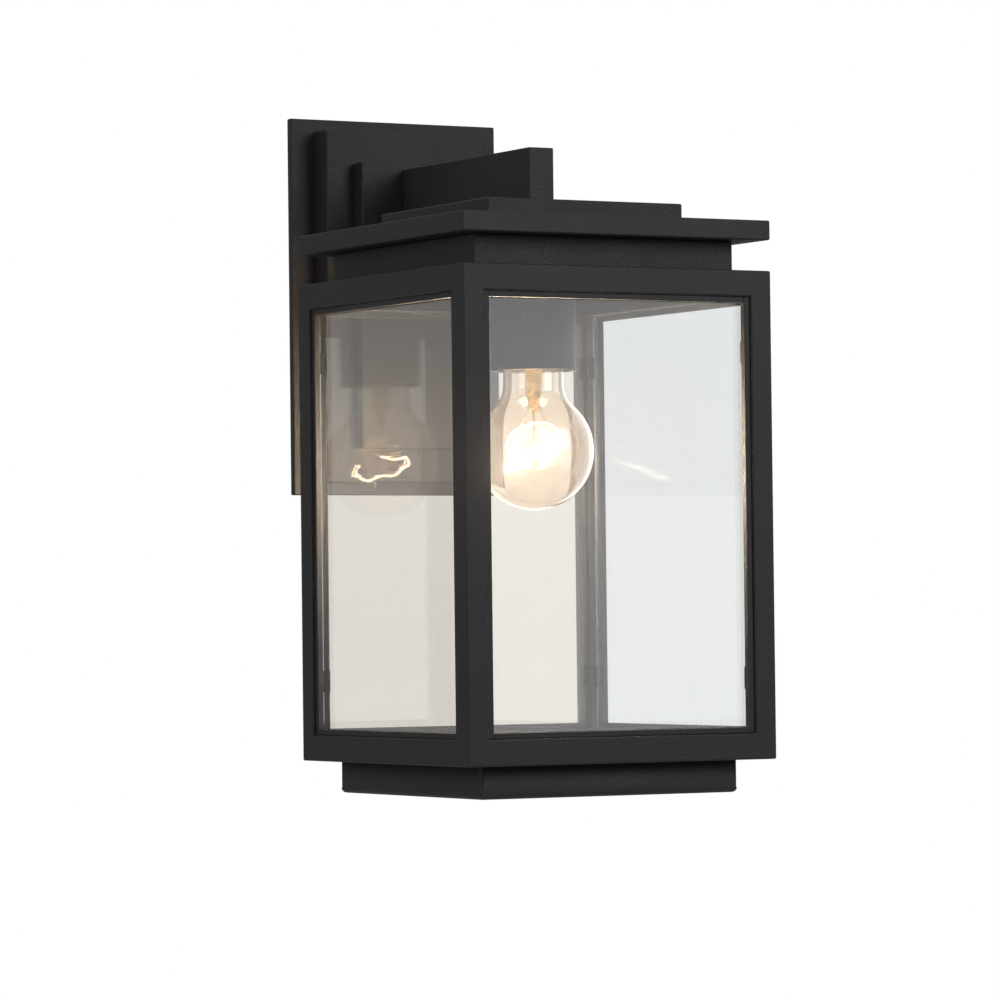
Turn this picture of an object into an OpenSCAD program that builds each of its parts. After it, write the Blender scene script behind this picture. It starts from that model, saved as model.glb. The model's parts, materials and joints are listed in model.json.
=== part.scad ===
// Outdoor wall lantern: a square glazed box under a flat stepped roof, carried by a bar
// on a stepped wall plate, with a screw-in bulb inside. All sizes are in millimetres.
// +X is to the right, +Z is up, and the wall is the plane y = 0 with the lantern on its
// -Y side. The origin is the centre of the wall plate's back.

/* [Wall plate] */
// Width of the wall plate
plate_w = 112; // [104:1:140]
// Height of the wall plate
plate_h = 181; // [174:1:220]
// Depth of the wall plate, from the wall to its face
plate_t = 4; // [3.5:0.5:8]
// Width of the raised plate
raised_w = 86.6; // [80:0.2:92]
// Height of the raised plate
raised_h = 169.2; // [150:0.2:170]
// How far the raised plate stands proud of the wall plate
raised_t = 13; // [12:0.5:20]
// Width of the block that carries the arm
block_w = 57.6; // [50:0.2:70]
// Height of the block that carries the arm
block_h = 137.4; // [134:0.2:146]
// How far the block stands proud of the raised plate
block_t = 8.5; // [8:0.5:14]

/* [Arm] */
// Width of the arm
arm_w = 13; // [13:0.5:20]
// Height of the arm
arm_h = 27.6; // [20:0.2:28]
// Distance from the wall to the arm's front end
arm_reach = 148; // [146:1:156]
// Distance from the wall to the lantern's upright axis
axis_y = 137.2; // [136:0.2:142]

/* [Roof] */
// Width and depth of the small slab under the arm
cap_w = 102; // [80:1:120]
// Height of the small slab
cap_h = 9; // [8:0.5:14]
// Width and depth of the roof slab
roof_w = 160; // [150:1:170]
// Height of the roof slab
roof_h = 9; // [9:0.5:14]
// Width and depth of the neck between the roof and the frame
neck_w = 134.8; // [130:0.2:137]
// Height of the neck
neck_h = 14; // [14:0.5:20]

/* [Glazed frame] */
// Outside width and depth of the frame
frame_w = 160; // [156:1:170]
// Height of the frame
frame_h = 222; // [180:1:260]
// Side of the square corner posts
post_w = 10.8; // [10:0.2:12]
// Height of the top and bottom rails
rail_h = 12; // [10:0.5:16]
// Height of the frame's top edge above the wall plate's centre
frame_top = 6; // [4:0.5:12]
// Thickness of the glass panes
glass_t = 3; // [2:0.5:3]
// Depth of the glass behind the frame's face
glass_inset = 4.5; // [4.5:0.1:4.7]

/* [Base] */
// Outside width and depth of the base collar
base_w = 134.4; // [133:0.2:138]
// Height of the base collar
base_h = 15; // [12:0.5:24]

/* [Lampholder and bulb] */
// Outside diameter of the metal cup round the lampholder
cup_d = 39.5; // [38:0.5:44]
// Diameter of the bulb's globe
bulb_d = 55; // [45:1:60]

/* [Hidden] */
$fn = 48;

coat = "#3c3c3e";
zinc = "#c8c9cc";
brass = "#c9a35a";
rubber = "#1d1d1f";
ceramic = "#e9e6df";
clear = "#cfe3ea66";

// Thickness of the sheet metal
sheet_t = 1.5;
// Extra length of a cut past the face that it opens
past = 1;

// Screw sizes: radius of the shank, its clearance hole and its tapped hole, and its head
m4_r = 2;
m4_clear_r = 2.2;
m4_tapped_r = 2.05;
m4_head = [3.8, 2.4];
m5_r = 2.5;
m5_clear_r = 2.75;
m5_tapped_r = 2.55;
m5_head = [4.5, 2.8];

// The wall plate's stack, as distances from the wall
raised_y = plate_t;
block_y = raised_y + raised_t;
arm_y = block_y + block_t;
hollow_w = raised_w - 2 * sheet_t;
hollow_h = raised_h - 2 * sheet_t;
block_screw_x = 20;
block_screw_z = 55;
wire_hole_r = 4.5;

// The mounting bracket: an upright bar with the wall slots, a cross bar with two lugs
bracket_t = 2;
bracket_bar = [30, 112];
bracket_cross_h = 20;
slot_spacing = 88;
slot_r = 2.5;
slot_length = 14;
lug_gap = 0.3;
lug_y = 15;
cover_screw_y = 10.5;
cable_hole_r = 10;
grommet_bore_r = 5;
earth_x = 11;
earth_z = -26;

// Heights up the roof's stack
neck_z = frame_top;
roof_z = neck_z + neck_h;
cap_z = roof_z + roof_h;
arm_z = cap_z + cap_h;
arm_mid_z = arm_z + arm_h / 2;
// Places of the arm's bolts and of the wire hole, from the lantern's axis
bolt_dy = [-4, 21];
wire_dy = 8.5;
tie_xy = 58;
earth_dy = 36;

// The frame
half = frame_w / 2;
inner = half - post_w;
frame_bottom = frame_top - frame_h;
window_top = frame_top - rail_h;
window_bottom = frame_bottom + rail_h;
pane_gap = 0.4;
bead_inset = 1.3;
bead_d = 3;
bead_side_w = 3;
bead_rail_w = 2.7;
bead_stop = 4.8;
tab_length = 10;
tab_w = 1.6;
tab_t = 0.8;

// The base
base_z = frame_bottom - base_h;
floor_z = base_z + 3;
sill_opening = 112;
floor_xy = 61;

// The lampholder and the bulb, as heights
cup_bottom = -37;
cup_t = 1;
nipple_r = 5;
ceiling_z = frame_top - sheet_t;
holder_r = 17.5;
holder_bottom = -33;
socket_r = 14.4;
socket_top = -2;
cap_r = 13.1;
cap_bottom = -29;
tip_z = -3.4;
globe_r = bulb_d / 2;
globe_z = -46.2 - globe_r;
glass_wall = 0.6;
// Radius of the bulb's neck in its cap and where it shows, and of the bend into the globe
neck_r = 12.6;
waist_r = 14;
bend_r = 14;
neck_top = -15;
taper_top = -30.5;
taper_h = 7.5;

// A block on the lantern's axis, w wide and deep, h high, from z0 upwards
module axis_block(w, z0, h) {
    translate([-w / 2, -axis_y - w / 2, z0]) cube([w, w, h]);
}

// An upright block centred on the wall plate, from y0 off the wall outwards
module wall_block(w, h, y0, t) {
    translate([-w / 2, -y0 - t, -h / 2]) cube([w, t, h]);
}

// A rod that stands at x, dy from the lantern's axis, from z0 upwards
module upright(x, dy, z0, length, r) {
    translate([x, dy - axis_y, z0]) cylinder(r = r, h = length);
}

// A rod that points away from the wall, from y0 off the wall outwards
module outward(x, z, y0, length, r) {
    translate([x, -y0, z]) rotate([90, 0, 0]) cylinder(r = r, h = length);
}

// A screw from below: its head hangs under z0 and its shank goes up from there
module screw_up(x, dy, z0, length, r, head) {
    upright(x, dy, z0 - past / 10, length + past / 10, r);
    upright(x, dy, z0 - head[1], head[1], head[0]);
}

// The same thing at the four corners of a square about the lantern's axis
module corners(xy) {
    for (sx = [-1, 1], sy = [-1, 1]) translate([sx * xy, sy * xy, 0]) children();
}

// The frame's sides by number: 0 front, 1 right, 2 rear, 3 left
module on_side(i) {
    translate([0, -axis_y, 0]) rotate([0, 0, 90 * i]) children();
}

// A round thing from its half outline, turned about the lantern's axis
module turned(outline) {
    translate([0, -axis_y, 0]) rotate_extrude() polygon(outline);
}

// A tube of radius r swept along the points of a route, with eight sides
function direction(v) = v / norm(v);
function across(d) = direction(abs(d[2]) < 0.9 ? cross(d, [0, 0, 1]) : cross(d, [0, 1, 0]));
function heading(route, i) = direction(
    route[min(i + 1, len(route) - 1)] - route[max(i - 1, 0)]);
function carried(route, i) = i == 0
    ? across(heading(route, 0))
    : let (d = heading(route, i), last = carried(route, i - 1))
      direction(last - d * (last * d));
function ring(route, i, r) = let (d = heading(route, i), a = carried(route, i), b = cross(d, a))
    [for (k = [0:7]) route[i] + r * (cos(45 * k) * a + sin(45 * k) * b)];
module tube_along(route, r) {
    last = len(route) - 1;
    points = [for (i = [0:last]) each ring(route, i, r)];
    sides = [for (i = [0:last - 1], k = [0:7]) let (n = (k + 1) % 8)
        [8 * i + k, 8 * i + 8 + k, 8 * i + 8 + n, 8 * i + n]];
    ends = [[for (k = [0:7]) k], [for (k = [7:-1:0]) 8 * last + k]];
    polyhedron(points, concat(sides, ends));
}

// Points on a straight line, without its last one
function line_to(a, b, n) = [for (i = [0:n - 1]) a + (b - a) * i / n];

// ---- Wall plate ----

module wall_gasket() color(rubber) {
    w = 5;
    out_w = plate_w - 2 * sheet_t;
    out_h = plate_h - 2 * sheet_t;
    t = plate_t - sheet_t;
    for (s = [-1, 1]) {
        translate([s * (out_w - w) / 2 - w / 2, -t, -out_h / 2]) cube([w, t, out_h]);
        translate([-out_w / 2 + w, -t, s * (out_h - w) / 2 - w / 2]) cube([out_w - 2 * w, t, w]);
    }
}

module wall_slot(z) {
    outward(0, z - slot_length / 2 + slot_r, -past, bracket_t + 2 * past, slot_r);
    outward(0, z + slot_length / 2 - slot_r, -past, bracket_t + 2 * past, slot_r);
    translate([-slot_r, -bracket_t - past, z - slot_length / 2 + slot_r])
        cube([2 * slot_r, bracket_t + 2 * past, slot_length - 2 * slot_r]);
}

module mounting_bracket() color(zinc) {
    lug_x = hollow_w / 2 - lug_gap;
    difference() {
        union() {
            wall_block(bracket_bar[0], bracket_bar[1], 0, bracket_t);
            wall_block(2 * lug_x, bracket_cross_h, 0, bracket_t);
            for (s = [-1, 1])
                translate([s * (lug_x - bracket_t / 2) - bracket_t / 2, -lug_y, -bracket_cross_h / 2])
                    cube([bracket_t, lug_y, bracket_cross_h]);
        }
        for (s = [-1, 1]) wall_slot(s * slot_spacing / 2);
        outward(0, 0, -past, bracket_t + 2 * past, cable_hole_r);
        outward(earth_x, earth_z, -past, bracket_t + 2 * past, m4_tapped_r);
        translate([-plate_w / 2, -cover_screw_y, 0]) rotate([0, 90, 0])
            cylinder(r = m4_tapped_r, h = plate_w);
    }
}

module cable_grommet() color(rubber)
    rotate([90, 0, 0]) rotate_extrude() polygon([
        [grommet_bore_r, 0], [cable_hole_r, 0], [cable_hole_r, bracket_t],
        [cable_hole_r + 2.5, bracket_t], [cable_hole_r + 2.5, bracket_t + 1.6],
        [cable_hole_r, bracket_t + 2.6], [grommet_bore_r, bracket_t + 2.6]]);

terminal_w = 27;
terminal_h = 18;
terminal_d = 10;
terminal_z = 31;
terminal_pitch = 9;
module terminal_block() color(ceramic) difference() {
    translate([-terminal_w / 2, -block_y + sheet_t, terminal_z - terminal_h / 2])
        cube([terminal_w, terminal_d, terminal_h]);
    for (s = [-1:1]) {
        translate([s * terminal_pitch, -block_y + sheet_t + 4, terminal_z - terminal_h])
            cylinder(r = 2, h = 2 * terminal_h);
        for (dz = [-5, 5])
            translate([s * terminal_pitch, -block_y + sheet_t + 6, terminal_z + dz])
                rotate([-90, 0, 0]) cylinder(r = 1.8, h = terminal_d);
    }
}

module wall_plate() color(coat) difference() {
    wall_block(plate_w, plate_h, 0, plate_t);
    wall_block(plate_w - 2 * sheet_t, plate_h - 2 * sheet_t, -past, plate_t - sheet_t + past);
    wall_block(hollow_w, hollow_h, -past, plate_t + 2 * past);
}

module block_screw_places() {
    for (sx = [-1, 1], sz = [-1, 1])
        translate([sx * block_screw_x, 0, sz * block_screw_z]) children();
}

module raised_plate() color(coat) difference() {
    wall_block(raised_w, raised_h, raised_y, raised_t);
    wall_block(hollow_w, hollow_h, raised_y - past, raised_t - sheet_t + past);
    outward(0, arm_mid_z, raised_y, 2 * raised_t, wire_hole_r);
    block_screw_places() outward(0, 0, raised_y, 2 * raised_t, m4_clear_r);
    translate([-plate_w / 2, -cover_screw_y, 0]) rotate([0, 90, 0])
        cylinder(r = m4_clear_r, h = plate_w);
}

module arm_block() color(coat) difference() {
    wall_block(block_w, block_h, block_y, block_t);
    outward(0, arm_mid_z, block_y - past, block_t + 2 * past, wire_hole_r);
    block_screw_places() outward(0, 0, block_y - past, 6.5 + past, m4_tapped_r);
}

module block_screws() color(zinc) block_screw_places() {
    outward(0, 0, block_y - sheet_t - m4_head[1], m4_head[1], m4_head[0]);
    outward(0, 0, block_y - sheet_t - past / 10, 7.5, m4_r);
}

module cover_screws() color(coat) for (s = [0, 1]) mirror([s, 0, 0]) {
    translate([raised_w / 2, -cover_screw_y, 0]) rotate([0, 90, 0])
        cylinder(r = m4_head[0], h = m4_head[1]);
    translate([raised_w / 2 - 8, -cover_screw_y, 0]) rotate([0, 90, 0])
        cylinder(r = m4_r, h = 8 + past / 10);
}

module earth_screws() color(brass) {
    outward(earth_x, earth_z, 0.2, 6, m4_r);
    outward(earth_x, earth_z, bracket_t + 1.3, 2.2, m4_head[0]);
    upright(0, earth_dy, ceiling_z, 5.4, m4_r);
    upright(0, earth_dy, frame_top + 1.3, 2.2, m4_head[0]);
}

// ---- Arm ----

arm_in_w = arm_w - 2 * sheet_t;
module arm_tube() color(coat) difference() {
    translate([-arm_w / 2, -arm_reach, arm_z]) cube([arm_w, arm_reach - arm_y, arm_h]);
    translate([-arm_in_w / 2, -arm_reach + sheet_t, arm_z + sheet_t])
        cube([arm_in_w, arm_reach - arm_y, arm_h - 2 * sheet_t]);
    for (dy = bolt_dy) upright(0, dy, arm_z - past, 2 * past + sheet_t, m5_clear_r);
    upright(0, wire_dy, arm_z - past, 2 * past + sheet_t, wire_hole_r);
}

insert_length = 10;
insert_h = 7;
module arm_inserts() color(zinc) for (dy = bolt_dy) difference() {
    translate([-arm_in_w / 2, dy - axis_y - insert_length / 2, arm_z + sheet_t])
        cube([arm_in_w, insert_length, insert_h]);
    upright(0, dy, arm_z, insert_h + sheet_t + past, m5_tapped_r);
}

module arm_bolts() color(zinc) for (dy = bolt_dy)
    screw_up(0, dy, cap_z - sheet_t, sheet_t + cap_h + sheet_t + insert_h, m5_r, m5_head);

// ---- Wires ----

// Where each wire leaves the terminal block, runs through the arm and turns down
wire_r = 1.1;
wire_in_y = -block_y + sheet_t + 4;
wire_down_z = frame_top + neck_h;
function wire_in_arm(x, z, dy) = concat(
    [[x, wire_in_y, terminal_z + 4], [x, wire_in_y, terminal_z + 12],
     [x * 0.7, wire_in_y, z - 5], [x * 0.3, wire_in_y - 1, z - 1.5],
     [0, wire_in_y - 3, z]],
    line_to([0, -block_y - 3, z], [0, dy - axis_y + 6, z], 12),
    [[0, dy - axis_y + 4, z - 0.4], [0, dy - axis_y + 1.4, z - 2], [0, dy - axis_y, z - 5],
     [0, dy - axis_y, arm_z + 1], [0, dy - axis_y, cap_z + 2]]);

module holder_wire(start_x, z, dy, end_x) tube_along(concat(
    wire_in_arm(start_x, z, dy),
    [[0, dy - axis_y, wire_down_z + 1], [end_x / 2, dy - axis_y - 1, wire_down_z - 3],
     [end_x, -axis_y + 1.2, wire_down_z - 6], [end_x, -axis_y, wire_down_z - 9],
     [end_x, -axis_y, frame_top], [end_x, -axis_y, 0]]), wire_r);

module wire_live() color("#5a3a24")
    holder_wire(-terminal_pitch, arm_mid_z + 3, wire_dy - 2.4, -1.6);
module wire_neutral() color("#2f5f9e")
    holder_wire(terminal_pitch, arm_mid_z, wire_dy, 1.6);
module wire_earth() color("#7f9f2f") {
    dy = wire_dy + 2.4;
    tube_along(concat(
        wire_in_arm(0, arm_mid_z - 3, dy),
        [[0, dy - axis_y, wire_down_z - 1], [0, dy - axis_y + 2, wire_down_z - 5],
         [0, dy - axis_y + 9, frame_top + 5], [0, dy - axis_y + 16, frame_top + 2.2],
         [0, earth_dy - axis_y - 4.3, frame_top + 1.3]]), wire_r);
    difference() {
        upright(0, earth_dy, frame_top + 0.1, 1.1, 4);
        upright(0, earth_dy, frame_top, 2, m4_tapped_r);
    }
}

// ---- Roof ----

// The holes that the arm's bolts and the wires take through the roof
module roof_holes(z0, h) {
    for (dy = bolt_dy) upright(0, dy, z0, h, m5_clear_r);
    upright(0, wire_dy, z0, h, wire_hole_r);
}

module cap_slab() color(coat) difference() {
    axis_block(cap_w, cap_z, cap_h);
    difference() {
        axis_block(cap_w - 4, cap_z - past, cap_h - 2 + past);
        translate([-12, -axis_y - 16, cap_z]) cube([24, 48, cap_h]);
    }
    roof_holes(cap_z - past, cap_h + 2 * past);
}

module roof_shell() color(coat) difference() {
    union() {
        difference() {
            axis_block(roof_w, roof_z, roof_h);
            axis_block(roof_w - 2 * sheet_t, roof_z - past, roof_h - sheet_t + past);
        }
        corners(tie_xy) upright(0, 0, roof_z + sheet_t, roof_h - 1.2 * sheet_t, 5);
    }
    roof_holes(roof_z, 2 * roof_h);
    corners(tie_xy) upright(0, 0, roof_z, roof_h - 2, m4_tapped_r);
}

module roof_soffit() color(coat) difference() {
    axis_block(roof_w - 2 * sheet_t, roof_z, sheet_t);
    upright(0, wire_dy, roof_z - past, sheet_t + 2 * past, wire_hole_r);
    corners(tie_xy) upright(0, 0, roof_z - past, sheet_t + 2 * past, m4_clear_r);
}

module neck_collar() color(coat) difference() {
    axis_block(neck_w, neck_z, neck_h);
    axis_block(neck_w - 2 * sheet_t, neck_z - past, neck_h + 2 * past);
}

module ceiling_plate() color(coat) difference() {
    axis_block(2 * inner, ceiling_z, sheet_t);
    upright(0, 0, ceiling_z - past, sheet_t + 2 * past, nipple_r + 0.1);
    upright(0, earth_dy, ceiling_z - past, sheet_t + 2 * past, m4_tapped_r);
    corners(tie_xy) upright(0, 0, ceiling_z - past, sheet_t + 2 * past, m4_clear_r);
}

module tie_screws() color(zinc) corners(tie_xy)
    screw_up(0, 0, ceiling_z, roof_z + roof_h - 3 - ceiling_z, m4_r, m4_head);

// ---- Glazed frame ----

// The front and rear rails run the full width, and the side rails fit between them
module rail(i, z0) color(coat) {
    length = i % 2 == 0 ? frame_w : 2 * inner;
    on_side(i) translate([-length / 2, -half, z0]) cube([length, post_w, rail_h]);
}

// Post i stands at the right-hand end of side i
module post(i) color(coat) on_side(i) difference() {
    hollow = post_w - 2.8;
    translate([inner, -half, window_bottom])
        cube([post_w, post_w, window_top - window_bottom]);
    translate([inner + 1.4, -half + 1.4, window_bottom - past])
        cube([hollow, hollow, window_top - window_bottom + 2 * past]);
}

module glass_pane(i) color(clear) on_side(i)
    translate([-inner + pane_gap, -half + glass_inset, window_bottom + pane_gap])
        cube([2 * (inner - pane_gap), glass_t, window_top - window_bottom - 2 * pane_gap]);

module beads(i) color(coat) on_side(i) {
    y = -half + bead_inset;
    for (z = [window_top - bead_rail_w, window_bottom])
        translate([-inner + bead_stop, y, z]) cube([2 * (inner - bead_stop), bead_d, bead_rail_w]);
    for (x = [-inner, inner - bead_side_w])
        translate([x, y, window_bottom + bead_rail_w])
            cube([bead_side_w, bead_d, window_top - window_bottom - 2 * bead_rail_w]);
}

// Small angle tabs behind the glass: one leg on the post, one against the pane
module glass_tabs() color(coat) for (i = [0:3]) on_side(i)
    for (s = [0, 1], z = [window_top - 30, window_bottom + 30 - tab_length]) mirror([s, 0, 0]) {
        y = -half + glass_inset + glass_t + 0.1;
        translate([inner - tab_t, y, z]) cube([tab_t, tab_w, tab_length]);
        translate([inner - tab_w, y, z]) cube([tab_w, tab_t, tab_length]);
    }

// ---- Base ----

module sill_plate() color(coat) difference() {
    axis_block(2 * inner, frame_bottom, sheet_t);
    axis_block(sill_opening, frame_bottom - past, sheet_t + 2 * past);
    corners(floor_xy) upright(0, 0, frame_bottom - past, sheet_t + 2 * past, m4_tapped_r);
}

module base_collar() color(coat) difference() {
    axis_block(base_w, base_z, base_h);
    axis_block(base_w - 2 * sheet_t, base_z - past, base_h + 2 * past);
}

module base_floor() color(coat) difference() {
    axis_block(base_w - 2 * sheet_t, floor_z, sheet_t);
    corners(floor_xy) upright(0, 0, floor_z - past, sheet_t + 2 * past, m4_clear_r);
    upright(0, 0, floor_z - past, sheet_t + 2 * past, 3);
}

module floor_spacers() color(zinc) corners(floor_xy) difference() {
    upright(0, 0, floor_z + sheet_t, frame_bottom - floor_z - sheet_t, 4);
    upright(0, 0, floor_z, base_h, m4_clear_r);
}

module floor_screws() color(zinc) corners(floor_xy)
    screw_up(0, 0, floor_z, frame_bottom - floor_z + 2.5, m4_r, m4_head);

// ---- Lampholder ----

module holder_nipple() color(zinc) difference() {
    upright(0, 0, -1, frame_top + 8, nipple_r);
    upright(0, 0, -1 - past, frame_top + 12, nipple_r - 1.6);
}

module nipple_nut() color(zinc) translate([0, -axis_y, frame_top]) difference() {
    cylinder(r = 8.1, h = 3.5, $fn = 6);
    translate([0, 0, -past]) cylinder(r = nipple_r + 0.05, h = 3.5 + 2 * past);
}

module holder_cup() color(coat) turned([
    [nipple_r + 0.1, ceiling_z], [cup_d / 2, ceiling_z], [cup_d / 2, cup_bottom],
    [cup_d / 2 - cup_t, cup_bottom], [cup_d / 2 - cup_t, ceiling_z - cup_t],
    [nipple_r + 0.1, ceiling_z - cup_t]]);

module holder_body() color(ceramic) turned([
    [0, socket_top], [socket_r, socket_top], [socket_r, holder_bottom],
    [holder_r, holder_bottom], [holder_r, ceiling_z - cup_t - 0.2],
    [nipple_r + 0.05, ceiling_z - cup_t - 0.2], [nipple_r + 0.05, socket_top + 1],
    [0, socket_top + 1]]);

module holder_shell() color(brass) turned([
    [7, socket_top], [socket_r - 0.4, socket_top], [socket_r - 0.4, cap_bottom],
    [socket_r - 0.9, cap_bottom], [socket_r - 0.9, socket_top - 0.6], [7, socket_top - 0.6]]);

module holder_contact() color(brass) {
    translate([-2.5, -axis_y - 5, socket_top - 0.5]) cube([5, 10, 0.5]);
    upright(0, 0, tip_z + 0.3, socket_top - tip_z - 0.7, 2.2);
}

// ---- Bulb ----

// The bulb's outline, wall millimetres inside its skin: the neck widens along half a
// cosine wave to the waist, a round bend leads from there, and the rest is a sphere
function taper(wall) = [for (k = [0:4])
    [neck_r + (waist_r - neck_r) * (1 - cos(45 * k)) / 2 - wall, taper_top - taper_h * k / 4]];
bend_x = waist_r + bend_r;
bend_z = globe_z + sqrt(pow(globe_r + bend_r, 2) - pow(bend_x, 2));
join_a = acos(bend_x / (globe_r + bend_r));
function bend(wall) = [for (k = [0:6]) let (a = 180 + join_a * k / 6)
    [bend_x + (bend_r + wall) * cos(a), bend_z + (bend_r + wall) * sin(a)]];
function globe(wall) = [for (k = [1:14]) let (a = join_a - (90 + join_a) * k / 14)
    [max(0, (globe_r - wall) * cos(a)), globe_z + (globe_r - wall) * sin(a)]];
function skin(wall) = concat([[neck_r - wall, neck_top]], taper(wall), bend(wall), globe(wall));
function backwards(list) = [for (k = [len(list) - 1:-1:0]) list[k]];

module bulb_glass() color(clear) turned(concat(skin(0), backwards(skin(glass_wall))));

module bulb_cap() color(brass) turned([
    [cap_r - 0.4, cap_bottom], [cap_r, cap_bottom], [cap_r, -10], [11.6, -8.5],
    [11.2, -8.5], [cap_r - 0.4, -10.2]]);

module bulb_insulator() color(rubber) turned([
    [0, -9.4], [11.2, -9.4], [11.2, -8.5], [4.8, tip_z - 1.5], [0, tip_z - 1.5]]);

module bulb_tip() color(zinc) upright(0, 0, tip_z - 1.5, 1.3, 4.6);

// The glass stem, with its flared foot sealed into the neck
module bulb_stem() color(clear) turned([[0, -17], [11.6, -17], [11.6, -18.5], [6.5, -25],
    [4.2, -32], [3.8, -44], [2.8, -51], [2.8, -56], [0, -56]]);

// Two lead wires and the filament, an open hoop between their ends that leans: it is
// highest in the direction hoop_high and lowest across from it
lead_r = 0.4;
filament_r = 0.5;
filament_z = -76;
hoop_r = 13;
hoop_lean = 5.5;
hoop_high = -35;
hoop_start = -60;
hoop_turn = 300;
function hoop_z(a) = filament_z + hoop_lean * cos(a - hoop_high);
module lead(a) {
    c = [cos(a), sin(a), 0];
    axis = [0, -axis_y, 0];
    up = [0, 0, 1];
    tube_along([for (p = [[3.4, -51.5], [4.5, -58], [9, -65], [hoop_r, hoop_z(a) + 1.4]])
        axis + p[0] * c + p[1] * up], lead_r);
}
module bulb_filament() color(brass) {
    lead(hoop_start);
    lead(hoop_start + hoop_turn);
    tube_along([for (k = [0:20]) let (a = hoop_start + hoop_turn * k / 20)
        [hoop_r * cos(a), hoop_r * sin(a) - axis_y, hoop_z(a)]], filament_r);
}

wall_gasket();
mounting_bracket();
cable_grommet();
terminal_block();
wall_plate();
raised_plate();
arm_block();
block_screws();
cover_screws();
earth_screws();
arm_tube();
arm_inserts();
arm_bolts();
wire_live();
wire_neutral();
wire_earth();
cap_slab();
roof_shell();
roof_soffit();
neck_collar();
ceiling_plate();
tie_screws();
rail(0, window_top);  // rail_top_front
rail(1, window_top);  // rail_top_right
rail(2, window_top);  // rail_top_rear
rail(3, window_top);  // rail_top_left
post(0);  // post_front_right
post(1);  // post_rear_right
post(2);  // post_rear_left
post(3);  // post_front_left
rail(0, frame_bottom);  // rail_bottom_front
rail(1, frame_bottom);  // rail_bottom_right
rail(2, frame_bottom);  // rail_bottom_rear
rail(3, frame_bottom);  // rail_bottom_left
glass_pane(0);  // glass_front
glass_pane(1);  // glass_right
glass_pane(2);  // glass_rear
glass_pane(3);  // glass_left
beads(0);  // beads_front
beads(1);  // beads_right
beads(2);  // beads_rear
beads(3);  // beads_left
glass_tabs();
sill_plate();
base_collar();
base_floor();
floor_spacers();
floor_screws();
holder_nipple();
nipple_nut();
holder_cup();
holder_body();
holder_shell();
holder_contact();
bulb_tip();
bulb_cap();
bulb_insulator();
bulb_glass();
bulb_stem();
bulb_filament();
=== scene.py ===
"""Looks of a square outdoor wall lantern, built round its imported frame.

Lengths in this file are millimetres until a mesh is written, and +Z is up. The wall is the
plane y = 0, the lantern hangs on its -Y side, and the origin is the middle of the wall
plate's back. Every place comes from the boxes of the frame's own nodes.
"""
import json
import logging
import math
from dataclasses import dataclass
from enum import Enum
from typing import Any, Mapping, Optional, Sequence, Union

import bpy
import numpy as np
from mathutils import Matrix, Vector

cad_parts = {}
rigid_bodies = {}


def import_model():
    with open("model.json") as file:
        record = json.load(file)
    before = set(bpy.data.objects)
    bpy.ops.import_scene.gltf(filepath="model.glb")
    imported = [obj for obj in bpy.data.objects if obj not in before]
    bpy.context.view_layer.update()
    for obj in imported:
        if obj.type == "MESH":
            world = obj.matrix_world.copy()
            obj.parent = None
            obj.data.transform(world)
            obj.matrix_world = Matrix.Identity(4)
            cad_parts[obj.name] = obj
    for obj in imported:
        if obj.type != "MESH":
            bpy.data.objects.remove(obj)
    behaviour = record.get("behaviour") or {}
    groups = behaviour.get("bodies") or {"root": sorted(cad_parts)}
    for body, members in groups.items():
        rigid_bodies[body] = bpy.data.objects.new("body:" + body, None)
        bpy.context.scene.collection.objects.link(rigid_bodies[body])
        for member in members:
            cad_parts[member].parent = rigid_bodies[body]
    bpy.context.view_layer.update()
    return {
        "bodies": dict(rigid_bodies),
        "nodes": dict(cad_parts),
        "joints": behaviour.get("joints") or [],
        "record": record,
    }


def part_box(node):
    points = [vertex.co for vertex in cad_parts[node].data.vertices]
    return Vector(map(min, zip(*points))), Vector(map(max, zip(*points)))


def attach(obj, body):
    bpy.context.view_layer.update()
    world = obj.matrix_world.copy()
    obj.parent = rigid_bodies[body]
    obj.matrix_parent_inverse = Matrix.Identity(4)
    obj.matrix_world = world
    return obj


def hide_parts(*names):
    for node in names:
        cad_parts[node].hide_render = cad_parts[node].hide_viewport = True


LOG = logging.getLogger("lantern")
MM = 0.001


class Body(Enum):
    """The frame's bodies: what hangs on the wall, and the two halves of the bulb's screw joint."""

    LANTERN = "lantern"
    BULB_TIP = "bulb_tip"
    BULB = "bulb"


class Side(Enum):
    """The glazed sides, each with its quarter turns about the lantern's axis."""

    FRONT = 0
    RIGHT = 1
    REAR = 2
    LEFT = 3

    @property
    def word(self) -> str:
        """The side's name as the nodes spell it."""
        return self.name.lower()


# ---- Shapes ----


@dataclass(frozen=True)
class Shape:
    """A skin in millimetres: its points, and index rows of three or four corners.

    Args:
        points: One row of x, y, z per point.
        faces: Blocks of faces, each block with the same number of corners per row.
    """

    points: np.ndarray
    faces: tuple[np.ndarray, ...]

    def turned(self, matrix: np.ndarray) -> "Shape":
        """The shape with every point multiplied by a rotation matrix."""
        return Shape(self.points @ np.asarray(matrix, float).T, self.faces)

    def moved(self, offset: Sequence[float]) -> "Shape":
        """The shape with the same offset added to every point."""
        return Shape(self.points + np.asarray(offset, float), self.faces)


def together(shapes: Sequence[Shape]) -> Shape:
    """Several skins as one, each block of indices raised by the points before it.

    Args:
        shapes: The skins to gather.

    Returns:
        One skin that holds them all, nothing merged.
    """
    starts = np.cumsum([0] + [len(s.points) for s in shapes])
    faces = tuple(block + start for s, start in zip(shapes, starts) for block in s.faces)
    return Shape(np.concatenate([s.points for s in shapes]), faces)


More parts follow.
